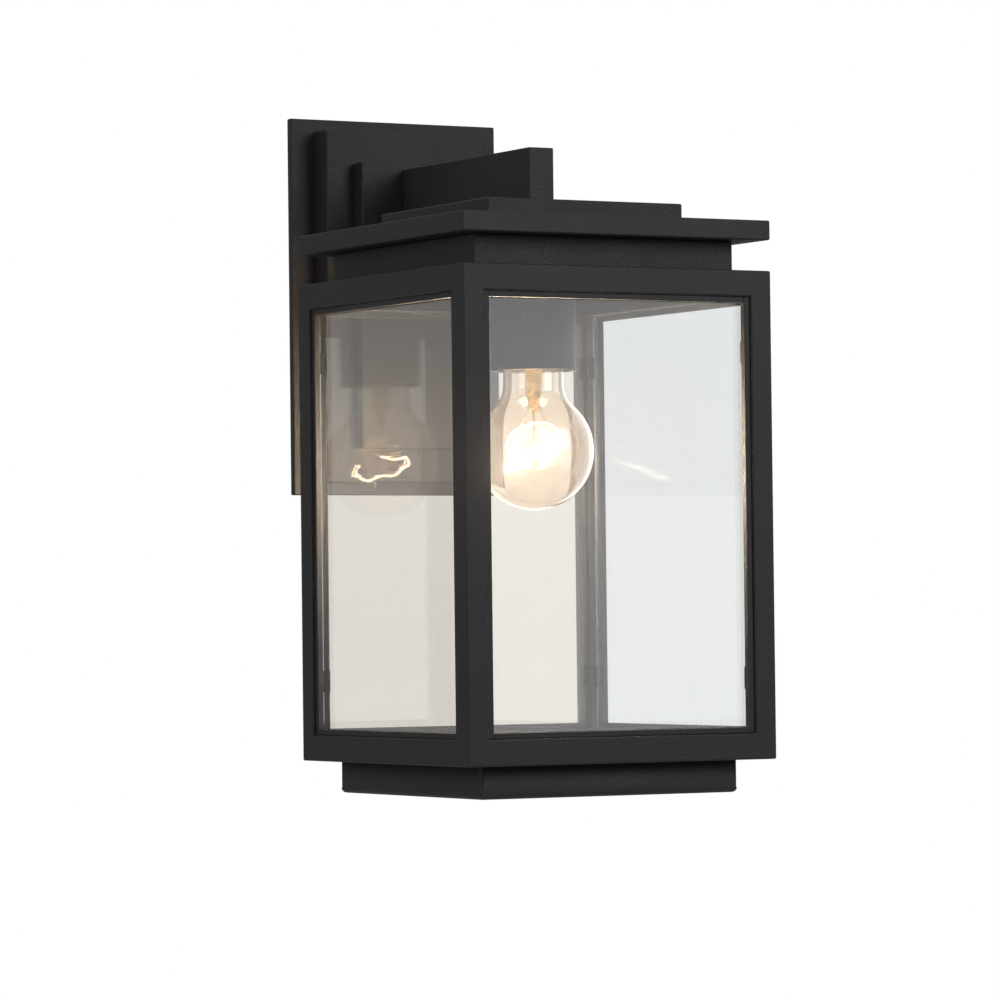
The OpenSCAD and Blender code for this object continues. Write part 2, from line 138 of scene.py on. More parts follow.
def carved(solids: Sequence[Any], cuts: Sequence[Any] = ()) -> Shape:
    """Skin of a union of boxes less other boxes.

    Space is cut into cells by every plane that bounds a box. A cell is filled if its middle
    lies in a solid and in no cut, and a face stands wherever a filled cell meets an empty one.

    Args:
        solids: Boxes of material, each a lowest and a highest corner.
        cuts: Boxes of air.

    Returns:
        The closed skin, with its faces outwards.
    """
    boxes = np.round(np.array([*solids, *cuts], float), 5)
    lines = [np.unique(boxes[:, :, axis]) for axis in range(3)]
    middles = np.stack(np.meshgrid(*[(a[1:] + a[:-1]) / 2 for a in lines], indexing="ij"), -1)
    inside = [np.all((middles > low) & (middles < high), axis=-1) for low, high in boxes]
    filled = np.any(inside[: len(solids)], axis=0)
    if cuts:
        filled &= ~np.any(inside[len(solids):], axis=0)
    padded = np.pad(filled, 1).astype(np.int8)
    step_of = np.eye(3, dtype=int)
    quads = []
    for axis in range(3):
        keep = [slice(1, -1)] * 3
        keep[axis] = slice(None)
        change = np.diff(padded, axis=axis)[tuple(keep)]
        du, dv = step_of[(axis + 1) % 3], step_of[(axis + 2) % 3]
        for sign in (1, -1):
            at = np.argwhere(change == sign)
            corners = np.stack([at, at + du, at + du + dv, at + dv], axis=1)
            quads.append(corners[:, ::-1] if sign == 1 else corners)
    grid = tuple(len(a) for a in lines)
    flat = np.ravel_multi_index(np.concatenate(quads).reshape(-1, 3).T, grid)
    used, index = np.unique(flat, return_inverse=True)
    places = np.unravel_index(used, grid)
    points = np.stack([lines[axis][places[axis]] for axis in range(3)], axis=1)
    return Shape(points, (index.reshape(-1, 4),))


def wrapped(points: np.ndarray, ring_closed: bool, rows_closed: bool) -> np.ndarray:
    """Index rows of the quads that join a grid of points.

    Quad (i, j) joins points (i, j), (i, j + 1), (i + 1, j + 1) and (i + 1, j), and an index
    past the last one is the first one again where that direction is closed.

    Args:
        points: Grid of shape rows, columns, 3.
        ring_closed: Whether the last column joins the first.
        rows_closed: Whether the last row joins the first.

    Returns:
        Four corner indices per quad.
    """
    rows, columns = points.shape[:2]
    i, j = np.meshgrid(
        np.arange(rows if rows_closed else rows - 1),
        np.arange(columns if ring_closed else columns - 1),
        indexing="ij",
    )
    after_i, after_j = (i + 1) % rows, (j + 1) % columns
    index = [i * columns + j, i * columns + after_j, after_i * columns + after_j, after_i * columns + j]
    return np.stack(index, axis=-1).reshape(-1, 4)


def revolved(radius: np.ndarray, height: np.ndarray, count: int = 96, loop: bool = False) -> Shape:
    """A turned skin: each outline point goes round the Z axis.

    The point at angle a is (radius cos a, radius sin a, height). Radius and height may also
    depend on the angle, one column per angle, as a screw thread's do. An outline that runs
    upwards on its outer side faces outwards. An end that lies on the axis becomes one point.

    Args:
        radius: Outline radii, one per point, or one row per point and a column per angle.
        height: Outline heights, in the same layout.
        count: Number of angles.
        loop: Whether the outline is a closed loop, as on a tube.

    Returns:
        The closed skin.
    """
    angle = np.arange(count) * 2 * np.pi / count
    radius = np.broadcast_to(np.asarray(radius, float).reshape(len(radius), -1), (len(radius), count))
    height = np.broadcast_to(np.asarray(height, float).reshape(len(height), -1), (len(height), count))
    grid = np.stack([radius * np.cos(angle), radius * np.sin(angle), height], axis=-1)
    if loop:
        return Shape(grid.reshape(-1, 3), (wrapped(grid, True, True),))
    body = grid[1:-1]
    points = np.concatenate([body.reshape(-1, 3), grid[0].mean(0)[None], grid[-1].mean(0)[None]])
    first, last = len(points) - 2, len(points) - 1
    j = np.arange(count)
    after = (j + 1) % count
    top = len(body) * count - count
    start = np.stack([np.full(count, first), after, j], axis=1)
    end = np.stack([np.full(count, last), top + j, top + after], axis=1)
    return Shape(points, (wrapped(body, True, False), start, end))


def swept(path: np.ndarray, normal: np.ndarray, radius: Union[float, np.ndarray], sides: int) -> Shape:
    """A round bar carried along a path.

    At each path point the ring is centre + radius (cos b n + sin b m), where n is the given
    normal made square to the direction of travel and m is their cross product. Each end is
    closed by a fan to its middle point.

    Args:
        path: One row per point.
        normal: One row per point, or one row for all, never along the path.
        radius: The bar's radius, one for all points or one each.
        sides: Points round the bar.

    Returns:
        The closed skin.
    """
    along = np.gradient(path, axis=0)
    along /= np.linalg.norm(along, axis=1, keepdims=True)
    normal = np.broadcast_to(np.asarray(normal, float), path.shape)
    normal = normal - along * np.sum(normal * along, axis=1, keepdims=True)
    normal = normal / np.linalg.norm(normal, axis=1, keepdims=True)
    other = np.cross(along, normal)
    b = np.arange(sides) * 2 * np.pi / sides
    radius = np.broadcast_to(np.asarray(radius, float), (len(path),))[:, None, None]
    ring = np.cos(b)[None, :, None] * normal[:, None] + np.sin(b)[None, :, None] * other[:, None]
    grid = path[:, None] + radius * ring
    points = np.concatenate([grid.reshape(-1, 3), path[:1], path[-1:]])
    first, last = len(points) - 2, len(points) - 1
    j = np.arange(sides)
    after = (j + 1) % sides
    top = (len(path) - 1) * sides
    start = np.stack([np.full(sides, first), after, j], axis=1)
    end = np.stack([np.full(sides, last), top + j, top + after], axis=1)
    return Shape(points, (wrapped(grid, True, False), start, end))


def rounded_square_loft(half: np.ndarray, corner: np.ndarray, height: np.ndarray,
                        steps: int = 6) -> Shape:
    """A closed outline carried round a square path with round corners.

    For outline point i the ring is a square of half width half[i] whose corners are arcs of
    radius corner[i]: arc centre at half[i] - corner[i] on both axes, plus corner[i] times
    (cos a, sin a) over a quarter turn. The outline is a loop, so the skin is a ring wall.

    Args:
        half: Half widths along the outline.
        corner: Corner radii along the outline.
        height: Heights along the outline.
        steps: Parts of each corner's arc.

    Returns:
        The closed skin.
    """
    quarter = np.arange(4).repeat(steps + 1) * np.pi / 2
    angle = quarter + np.tile(np.linspace(0, np.pi / 2, steps + 1), 4)
    diagonal = quarter + np.pi / 4
    to_corner = np.stack([np.cos(diagonal), np.sin(diagonal)], axis=-1) * math.sqrt(2)
    reach = (half - corner)[:, None, None] * to_corner[None]
    arc = corner[:, None, None] * np.stack([np.cos(angle), np.sin(angle)], axis=-1)[None]
    flat = reach + arc
    tall = np.broadcast_to(height[:, None, None], (*flat.shape[:2], 1))
    grid = np.concatenate([flat, tall], axis=-1)
    return Shape(grid.reshape(-1, 3), (wrapped(grid, True, True),))


def smooth_route(points: Sequence[Sequence[float]], parts: int = 6) -> np.ndarray:
    """A soft curve through a list of points.

    Between points p1 and p2, with neighbours p0 and p3, the curve is half of
    2 p1 + (p2 - p0) t + (2 p0 - 5 p1 + 4 p2 - p3) t^2 + (3 p1 - p0 - 3 p2 + p3) t^3.

    Args:
        points: The points it passes through.
        parts: Number of steps between two of them.

    Returns:
        The curve's points, in order.
    """
    p = np.asarray(points, float)
    p = np.concatenate([2 * p[:1] - p[1:2], p, 2 * p[-1:] - p[-2:-1]])
    t = (np.arange(parts) / parts)[None, :, None]
    p0, p1, p2, p3 = (p[k:len(p) - 3 + k][:, None] for k in range(4))
    curve = 0.5 * (
        2 * p1 + (p2 - p0) * t + (2 * p0 - 5 * p1 + 4 * p2 - p3) * t**2
        + (3 * p1 - p0 - 3 * p2 + p3) * t**3
    )
    return np.concatenate([curve.reshape(-1, 3), p[-2:-1]])


def facing(direction: Sequence[float]) -> np.ndarray:
    """Rotation that turns +Z to a direction along one of the axes.

    Args:
        direction: A unit vector along X, Y or Z.

    Returns:
        The 3 by 3 matrix, its columns the new X, Y and Z.
    """
    new_z = np.asarray(direction, float)
    new_x = np.roll(np.abs(new_z), 1)
    return np.stack([new_x, np.cross(new_z, new_x), new_z], axis=1)


def quarter_turns(number: int) -> np.ndarray:
    """Rotation about Z by a number of exact quarter turns."""
    c, s = [(1, 0), (0, 1), (-1, 0), (0, -1)][number % 4]
    return np.array([[c, -s, 0], [s, c, 0], [0, 0, 1]], float)


def arc(centre: Sequence[float], radius: float, start: float, end: float, parts: int = 4) -> np.ndarray:
    """Points of an arc in an outline's plane.

    Args:
        centre: Its middle, as radius and height.
        radius: Its radius.
        start: First angle in degrees.
        end: Last angle in degrees.
        parts: Number of steps.

    Returns:
        Rows of radius and height.
    """
    a = np.radians(np.linspace(start, end, parts + 1))
    return np.asarray(centre, float) + radius * np.stack([np.cos(a), np.sin(a)], axis=1)


def node_box(name: str) -> np.ndarray:
    """Lowest and highest corner of a frame node, in millimetres."""
    return np.array(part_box(name), float) / MM


# ---- Finishes ----

# The slow drift of colour and roughness is this many grains across.
DRIFT_GRAINS = 28
# Share of the relief pattern in that drift.
RELIEF_SHARE = 0.6
# The range that a noise pattern fills in practice.
NOISE_LOW, NOISE_HIGH = 0.3, 0.7


def linear(colour: str) -> tuple[float, float, float, float]:
    """An sRGB hex colour as linear values with full opacity.

    Args:
        colour: Six hex digits after a hash sign.

    Returns:
        Red, green, blue and 1.
    """
    values = np.array([int(colour[k:k + 2], 16) for k in (1, 3, 5)]) / 255
    low, high = values / 12.92, ((values + 0.055) / 1.055) ** 2.4
    return (*np.where(values <= 0.04045, low, high).tolist(), 1.0)


def add_node(
    tree: bpy.types.NodeTree,
    kind: str,
    settings: Optional[Mapping[str, Any]] = None,
    inputs: Optional[Mapping[Any, Any]] = None,
) -> bpy.types.Node:
    """Add one node with its settings and links.

    Args:
        tree: The node tree.
        kind: The node's type name.
        settings: Attributes to set.
        inputs: Input sockets by name or number. A socket as value is linked, anything else
            becomes the socket's own value.

    Returns:
        The new node.
    """
    node = tree.nodes.new(kind)
    for name, value in (settings or {}).items():
        setattr(node, name, value)
    for name, value in (inputs or {}).items():
        if isinstance(value, bpy.types.NodeSocket):
            tree.links.new(value, node.inputs[name])
        else:
            node.inputs[name].default_value = value
    return node


@dataclass(frozen=True)
class Finish:
    """What every finish has: a name, a colour, and how rough and metallic its surface is.

    Args:
        name: The material's name.
        slot: The record's slot it belongs to. Not used.
        colour: Base colour as sRGB hex.
        roughness: Mean roughness.
        metallic: 1 for bare metal, else 0.
        ior: Index of refraction.
        grain: Size of the surface's small unevenness, in millimetres.
        relief: Height of that unevenness, in millimetres.
        vary: How far the roughness strays from its mean.
        tone: How far the colour's brightness strays, as a share of it.
        coat: Weight of a clear film on top.
    """

    name: str
    slot: str
    colour: str
    roughness: float = 0.5
    metallic: float = 0.0
    ior: float = 1.5
    grain: float = 1.0
    relief: float = 0.0
    vary: float = 0.05
    tone: float = 0.1
    coat: float = 0.0

    def socket_values(self) -> dict[str, Any]:
        """Further uniform values for the shader's own sockets."""
        return {}

    def height(self, tree: bpy.types.NodeTree, place: bpy.types.NodeSocket) -> bpy.types.NodeSocket:
        """The relief pattern: soft lumps one grain across.

        Args:
            tree: The node tree.
            place: Object coordinates.

        Returns:
            The height, from 0 to 1.
        """
        lumps = add_node(tree, "ShaderNodeTexNoise", inputs={
            "Vector": place, "Scale": 1 / (self.grain * MM), "Detail": 2.0, "Roughness": 0.5})
        return lumps.outputs["Fac"]

    def material(self) -> bpy.types.Material:
        """Make the material, or return it if it is there already.

        Returns:
            A node material: the base colour and the roughness drift with a slow noise, and
            the relief pattern drives a bump as high as the relief.
        """
        known = bpy.data.materials.get(self.name)
        if known is not None:
            return known
        made = bpy.data.materials.new(self.name)
        made.use_nodes = True
        tree = made.node_tree
        tree.nodes.clear()
        place = add_node(tree, "ShaderNodeTexCoord").outputs["Object"]
        height = self.height(tree, place)
        drift = add_node(tree, "ShaderNodeTexNoise", inputs={
            "Vector": place, "Scale": 1 / (DRIFT_GRAINS * self.grain * MM), "Detail": 3.0})
        blend = add_node(tree, "ShaderNodeMix", {"data_type": "FLOAT"}, {
            0: RELIEF_SHARE, 2: drift.outputs["Fac"], 3: height})
        rough = add_node(tree, "ShaderNodeMapRange", inputs={
            "Value": blend.outputs[0], "From Min": NOISE_LOW, "From Max": NOISE_HIGH,
            "To Min": self.roughness - self.vary, "To Max": self.roughness + self.vary})
        base = np.array(linear(self.colour))
        dark, light = base * (1 - self.tone), base * (1 + self.tone)
        shade = add_node(tree, "ShaderNodeMix", {"data_type": "RGBA"}, {
            0: blend.outputs[0], 6: (*dark[:3], 1), 7: (*light[:3], 1)})
        shader = add_node(tree, "ShaderNodeBsdfPrincipled", inputs={
            "Base Color": shade.outputs[2], "Roughness": rough.outputs[0],
            "Metallic": self.metallic, "IOR": self.ior, "Coat Weight": self.coat,
            **self.socket_values()})
        if self.relief > 0:
            bump = add_node(tree, "ShaderNodeBump", inputs={
                "Height": height, "Distance": self.relief * MM, "Strength": 1.0})
            tree.links.new(bump.outputs["Normal"], shader.inputs["Normal"])
        add_node(tree, "ShaderNodeOutputMaterial", inputs={"Surface": shader.outputs[0]})
        return made


@dataclass(frozen=True)
class PowderCoat(Finish):
    """Baked powder with a fine sand grain: two sizes of lump, the finer one sharper.

    Args:
        specular: How strongly the cured resin mirrors, 0.5 for a plain resin.
    """

    specular: float = 0.5

    def socket_values(self) -> dict[str, Any]:
        """How strongly the cured resin mirrors."""
        return {"Specular IOR Level": self.specular}

    def height(self, tree: bpy.types.NodeTree, place: bpy.types.NodeSocket) -> bpy.types.NodeSocket:
        """Orange-peel lumps with sand grains standing out of them.

        Args:
            tree: The node tree.
            place: Object coordinates.

        Returns:
            The height, from 0 to 1.
        """
        sand = add_node(tree, "ShaderNodeTexVoronoi", {"feature": "SMOOTH_F1"}, {
            "Vector": place, "Scale": 1 / (self.grain * MM), "Smoothness": 0.7})
        peel = super().height(tree, place)
        mixed = add_node(tree, "ShaderNodeMix", {"data_type": "FLOAT"}, {
            0: 0.45, 2: sand.outputs["Distance"], 3: peel})
        return mixed.outputs[0]


@dataclass(frozen=True)
class ClearGlass(Finish):
    """Glass that light passes through, with a slight tint: its own, and on the wall-side pane a painted
    lamp glow.

    Args:
        waves: Length of its slow waves, in millimetres.
        film: Share of the light that a thin film of dust or metal scatters.
    """

    waves: float = 30.0
    film: float = 0.0

    def socket_values(self) -> dict[str, Any]:
        """Transmission, less the share that the film scatters."""
        return {"Transmission Weight": 1.0 - self.film}

    def height(self, tree: bpy.types.NodeTree, place: bpy.types.NodeSocket) -> bpy.types.NodeSocket:
        """The slow draw lines of rolled or blown glass.

        Args:
            tree: The node tree.
            place: Object coordinates.

        Returns:
            The height, from 0 to 1.
        """
        draw = add_node(tree, "ShaderNodeTexNoise", inputs={
            "Vector": place, "Scale": 1 / (self.waves * MM), "Detail": 0.0})
        return draw.outputs["Fac"]


@dataclass(frozen=True)
class Glow(Finish):
    """Metal hot enough to give light.

    Args:
        light: Colour of the light as sRGB hex.
        strength: How bright it is beside a white surface.
    """

    light: str = "#ffd9a0"
    strength: float = 60.0

    def socket_values(self) -> dict[str, Any]:
        """The light it gives off."""
        return {"Emission Color": linear(self.light), "Emission Strength": self.strength}


@dataclass(frozen=True)
class TurnedMetal(Finish):
    """Metal with the fine rings that a lathe or a die leaves round the upright axis.

    Args:
        rings: Distance between the rings, in millimetres.
    """

    rings: float = 0.4

    def height(self, tree: bpy.types.NodeTree, place: bpy.types.NodeSocket) -> bpy.types.NodeSocket:
        """Fine level rings, one per step of height.

        Args:
            tree: The node tree.
            place: Object coordinates.

        Returns:
            The height, from 0 to 1.
        """
        stretch = add_node(tree, "ShaderNodeMapping", inputs={
            "Vector": place, "Scale": (0.05, 0.05, 1)})
        rings = add_node(tree, "ShaderNodeTexNoise", inputs={
            "Vector": stretch.outputs[0], "Scale": 1 / (self.rings * MM), "Detail": 1.0})
        return rings.outputs["Fac"]


# Charcoal polyester powder, baked on aluminium sheet. Its sand grain is about 0.3 mm, drawn
# at 1 mm so that it shows. It gives a dull near-black with a faint mottle and light edges.
CHARCOAL = PowderCoat("charcoal_powder_coat", "charcoal_coat", "#262628", roughness=0.56,
                      grain=1.0, relief=0.14, vary=0.08, tone=0.8, specular=0.4)
# Float glass, 3 mm: flat, polished by its own bath of tin, a trace of iron in it.
FLOAT_GLASS = ClearGlass("float_glass", "pane_glass", "#f2f4f4", roughness=0.0, vary=0.0,
                         tone=0.0, ior=1.52, relief=0.002, waves=60, film=0.002)
# The same glass on the wall side, with a film of the dust that settles on a pane nobody wipes, and a
# warm tint that is painted light: the lamp's glow on the wall behind, seen through the pane.
DUSTY_GLASS_PAINTED_GLOW = ClearGlass("dusty_float_glass_painted_lamp_glow", "pane_glass", "#ebe4da", roughness=0.0, vary=0.0,
                         tone=0.03, ior=1.52, relief=0.002, waves=60, film=0.038)
# Blown soda glass of the bulb: thin, clear, with slow waves where the mould let go.
BLOWN_GLASS = ClearGlass("blown_bulb_glass", "bulb_glass", "#fdf9f2", roughness=0.0, vary=0.0,
                         tone=0.0, ior=1.5, relief=0.05, waves=9, film=0.035)
# Pressed lead glass of the stem, uneven where it was pinched hot.
STEM_GLASS = ClearGlass("pinched_stem_glass", "bulb_glass", "#fae2a8", roughness=0.1, vary=0.05,
                        tone=0.1, ior=1.56, relief=1.1, waves=1.3, film=0.08)
# Zinc-plated steel: bluish grey, with the soft bloom of the bath.
ZINC = Finish("zinc_plated_steel", "zinc_steel", "#b9bcc0", roughness=0.34, metallic=1.0,
              grain=0.8, relief=0.004, vary=0.08, tone=0.08)
# Stamped and turned brass, a little dulled.
BRASS = TurnedMetal("stamped_brass", "brass", "#c9a462", roughness=0.28, metallic=1.0,
                    relief=0.004, vary=0.06, tone=0.08)
# Nickel-plated aluminium of the bulb's screw cap, rolled between dies.
CAP_METAL = TurnedMetal("rolled_cap_metal", "bulb_cap", "#c3bca9", roughness=0.3, metallic=1.0,
                        relief=0.003, vary=0.06, tone=0.06)
# Soft solder, puddled and dull.
SOLDER = Finish("puddled_solder", "solder", "#a7a9ab", roughness=0.42, metallic=1.0, grain=0.9,
                relief=0.03, vary=0.08, tone=0.1)
# Coiled tungsten at full heat. It is white hot, with an orange edge where it cools.
TUNGSTEN = Glow("glowing_tungsten", "filament", "#8f8a80", roughness=0.4, metallic=1.0,
                grain=0.5, light="#ffe6c4", strength=700.0)
# Drawn nickel and molybdenum wire that holds the filament.
NICKEL_WIRE = Finish("drawn_nickel_wire", "filament", "#b8b1a4", roughness=0.25, metallic=1.0,
                     grain=0.3, vary=0.05, tone=0.05)
# Moulded EPDM rubber and closed-cell foam: matt, with a dry bloom.
RUBBER = Finish("moulded_rubber", "rubber", "#1b1b1d", roughness=0.72, grain=0.5, relief=0.02,
                vary=0.06, tone=0.2)
FOAM = Finish("closed_cell_foam", "rubber", "#222224", roughness=0.9, grain=0.7, relief=0.2,
              vary=0.04, tone=0.35)
# Glazed porcelain of the lampholder, a warm white under a thin glassy glaze.
PORCELAIN = Finish("glazed_porcelain", "porcelain", "#e6e2d8", roughness=0.22, grain=2.0,
                   relief=0.01, vary=0.04, tone=0.03, coat=0.4)
# Black glass that holds the tip away from the bulb's cap, cast hot.
BLACK_GLASS = Finish("cast_black_glass", "black_glass", "#0d0b12", roughness=0.12, ior=1.6,
                     grain=2.0, relief=0.02, vary=0.04, tone=0.1)
# Moulded polyamide of the terminal block.
POLYAMIDE = Finish("moulded_polyamide", "terminal_plastic", "#dcdad2", roughness=0.45, grain=0.6,
                   relief=0.01, vary=0.05, tone=0.04)
# PVC sleeves of the wires: extruded, waxy, in the usual colours.
LIVE_SLEEVE = Finish("brown_pvc_sleeve", "wire_live", "#5b3721", roughness=0.38, grain=0.6,
                     relief=0.01, tone=0.06)
NEUTRAL_SLEEVE = Finish("blue_pvc_sleeve", "wire_neutral", "#2a5a9c", roughness=0.38, grain=0.6,
                        relief=0.01, tone=0.06)
EARTH_SLEEVE = Finish("green_pvc_sleeve", "wire_earth", "#6f9a2c", roughness=0.38, grain=0.6,
                      relief=0.01, tone=0.06)
# Matt white studio paper on the floor.
PAPER = Finish("studio_paper", "", "#f4f4f3", roughness=0.9, grain=3.0, tone=0.01)


# ---- Pieces ----


def make_piece(
    name: str,
    shape: Shape,
    finish: Finish,
    body: Body = Body.LANTERN,
    nodes: Sequence[str] = (),
    rounding: float = 0.0,
    smooth: bool = True,
) -> bpy.types.Object:
    """Write a skin into a mesh object that rides on a body.

    Args:
        name: The piece's name.
        shape: Its skin in millimetres.
        finish: Its finish.
        body: The body it rides on.
        nodes: Frame nodes that it stands for.
        rounding: Width of the rounding on its hard edges, 0 for none.
        smooth: Whether neighbouring faces shade into each other.

    Returns:
        The object, at the origin.
    """
    mesh = bpy.data.meshes.new(name)
    corners = np.concatenate([block.ravel() for block in shape.faces])
    sizes = np.concatenate([np.full(len(block), block.shape[1]) for block in shape.faces])
    mesh.vertices.add(len(shape.points))
    mesh.vertices.foreach_set("co", (shape.points * MM).ravel())
    mesh.loops.add(len(corners))
    mesh.loops.foreach_set("vertex_index", corners.astype(np.int32))
    mesh.polygons.add(len(sizes))
    mesh.polygons.foreach_set("loop_start", (np.cumsum(sizes) - sizes).astype(np.int32))
    mesh.polygons.foreach_set("use_smooth", np.full(len(sizes), smooth))
    mesh.update(calc_edges=True)
    mesh.validate()
    mesh.materials.append(finish.material())
    piece = bpy.data.objects.new(name, mesh)
    bpy.context.scene.collection.objects.link(piece)
    if rounding > 0:
        soften = piece.modifiers.new("edge_rounding", "BEVEL")
        soften.width = rounding * MM
        soften.segments = 3
        soften.limit_method = "ANGLE"
        soften.angle_limit = math.radians(40)
        soften.harden_normals = True
        soften.use_clamp_overlap = True
    if nodes:
        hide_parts(*nodes)
    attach(piece, body.value)
    LOG.info("%s: %d points, %s, on %s", name, len(shape.points), finish.name, body.value)
    return piece


def dress_node(frame: Mapping[str, Any], name: str, finish: Finish) -> bpy.types.Object:
    """Give a frame node that keeps its own shape its finish.

    Args:
        frame: What the frame's loading returned.
        name: The node.
        finish: Its finish.

    Returns:
        The node's object.
    """
    node = frame["nodes"][name]
    if not node.material_slots:
        node.data.materials.append(finish.material())
    for place in node.material_slots:
        place.material = finish.material()
    LOG.info("%s keeps its shape, %s", name, finish.name)
    return node


def let_light_through(piece: bpy.types.Object) -> None:
    """Clear glass throws no shadow and stops no scattered light."""
    piece.visible_shadow = False
    piece.visible_diffuse = False


# Radius of a screw head's rim, in millimetres.
HEAD_RIM = 0.6
# The cross recess: its half width and half length as shares of the head's radius, and its depth
# as a share of the head's height.
RECESS_WIDTH, RECESS_LENGTH, RECESS_DEPTH = 0.17, 0.52, 0.55
# Width of the recess's slopes along its sides and at its ends, in millimetres.
SIDE_SLOPE, END_SLOPE = 0.15, 0.3
# Half the depth of a screw's thread, as a share of its pitch.
THREAD_SHARE = 0.1


@dataclass(frozen=True)
class Screw:
    """A pan-head screw with a cross recess, its seat at height 0 and its shank going up.

    Args:
        shank: Radius of the shank.
        head: Radius of the head.
        rise: Height of the head.
        length: Length of the shank.
        pitch: Pitch of its thread.
    """

    shank: float
    head: float
    rise: float
    length: float
    pitch: float = 0.7

    def shape(self, count: int = 48) -> Shape:
        """The screw's skin.

        The head's outline is a flat dome with a round rim. The recess is a cross: where the
        smaller of |x| and |y| is under its half width and the larger is under its half
        length, the dome is pushed in. The shank's radius swings by a fifth of the pitch
        along a helix.

        Args:
            count: Number of angles.

        Returns:
            The closed skin.
        """
        dome = np.linspace(0, 1, 15)[:-1] * (self.head - HEAD_RIM)
        rim = arc((self.head - HEAD_RIM, HEAD_RIM - self.rise), HEAD_RIM, -90, 0, 4)
        angle = np.arange(count) * 2 * np.pi / count
        x = np.abs(dome[:, None] * np.cos(angle))
        y = np.abs(dome[:, None] * np.sin(angle))
        near, far = np.minimum(x, y), np.maximum(x, y)
        across = np.clip((RECESS_WIDTH * self.head - near) / SIDE_SLOPE, 0, 1)
        along = np.clip((RECESS_LENGTH * self.head - far) / END_SLOPE, 0, 1)
        top = -self.rise + across * along * RECESS_DEPTH * self.rise
        turns = np.linspace(0.15, self.length - 0.3, max(6, int(self.length / self.pitch * 6)))
        thread = self.shank - THREAD_SHARE * self.pitch * (
            1 - np.cos(2 * np.pi * turns[:, None] / self.pitch - angle))
        radius = np.concatenate([
            np.broadcast_to(dome[:, None], (len(dome), count)),
            np.broadcast_to(rim[:, :1], (len(rim), count)),
            np.full((2, count), [[self.head], [self.shank]]),
            thread,
            np.full((2, count), [[self.shank * 0.7], [0.0]]),
        ])
        height = np.concatenate([
            top,
            np.broadcast_to(rim[:, 1:], (len(rim), count)),
            np.full((2, count), [[0.0], [0.0]]),
            np.broadcast_to(turns[:, None], (len(turns), count)),
            np.full((2, count), [[self.length], [self.length]]),
        ])
        return revolved(radius, height, count)

    def placed(self, seat: Sequence[float], direction: Sequence[float]) -> Shape:
        """The screw with its seat at a point and its shank along a direction."""
        return self.shape().turned(facing(direction)).moved(seat)


# Metric screw sizes.
M4 = {"shank": 2.0, "head": 3.8, "rise": 2.4, "pitch": 0.7}
M5 = {"shank": 2.5, "head": 4.5, "rise": 2.8, "pitch": 0.8}
# The upward direction.
UP = (0.0, 0.0, 1.0)
# The wires' square way down through arm and roof: its distance behind the lantern's axis, and
# its half width.
WAY_DY, WAY_HALF = 8.5, 4.0


def wire_way(axis_y: float, low: float, high: float) -> list[list[float]]:
    """Box of the wires' way down.

    Args:
        axis_y: Place of the lantern's upright axis.
        low: Its lower end.
        high: Its upper end.

    Returns:
        Its lowest and highest corner.
    """
    middle = axis_y + WAY_DY
    return [[-WAY_HALF, middle - WAY_HALF, low], [WAY_HALF, middle + WAY_HALF, high]]


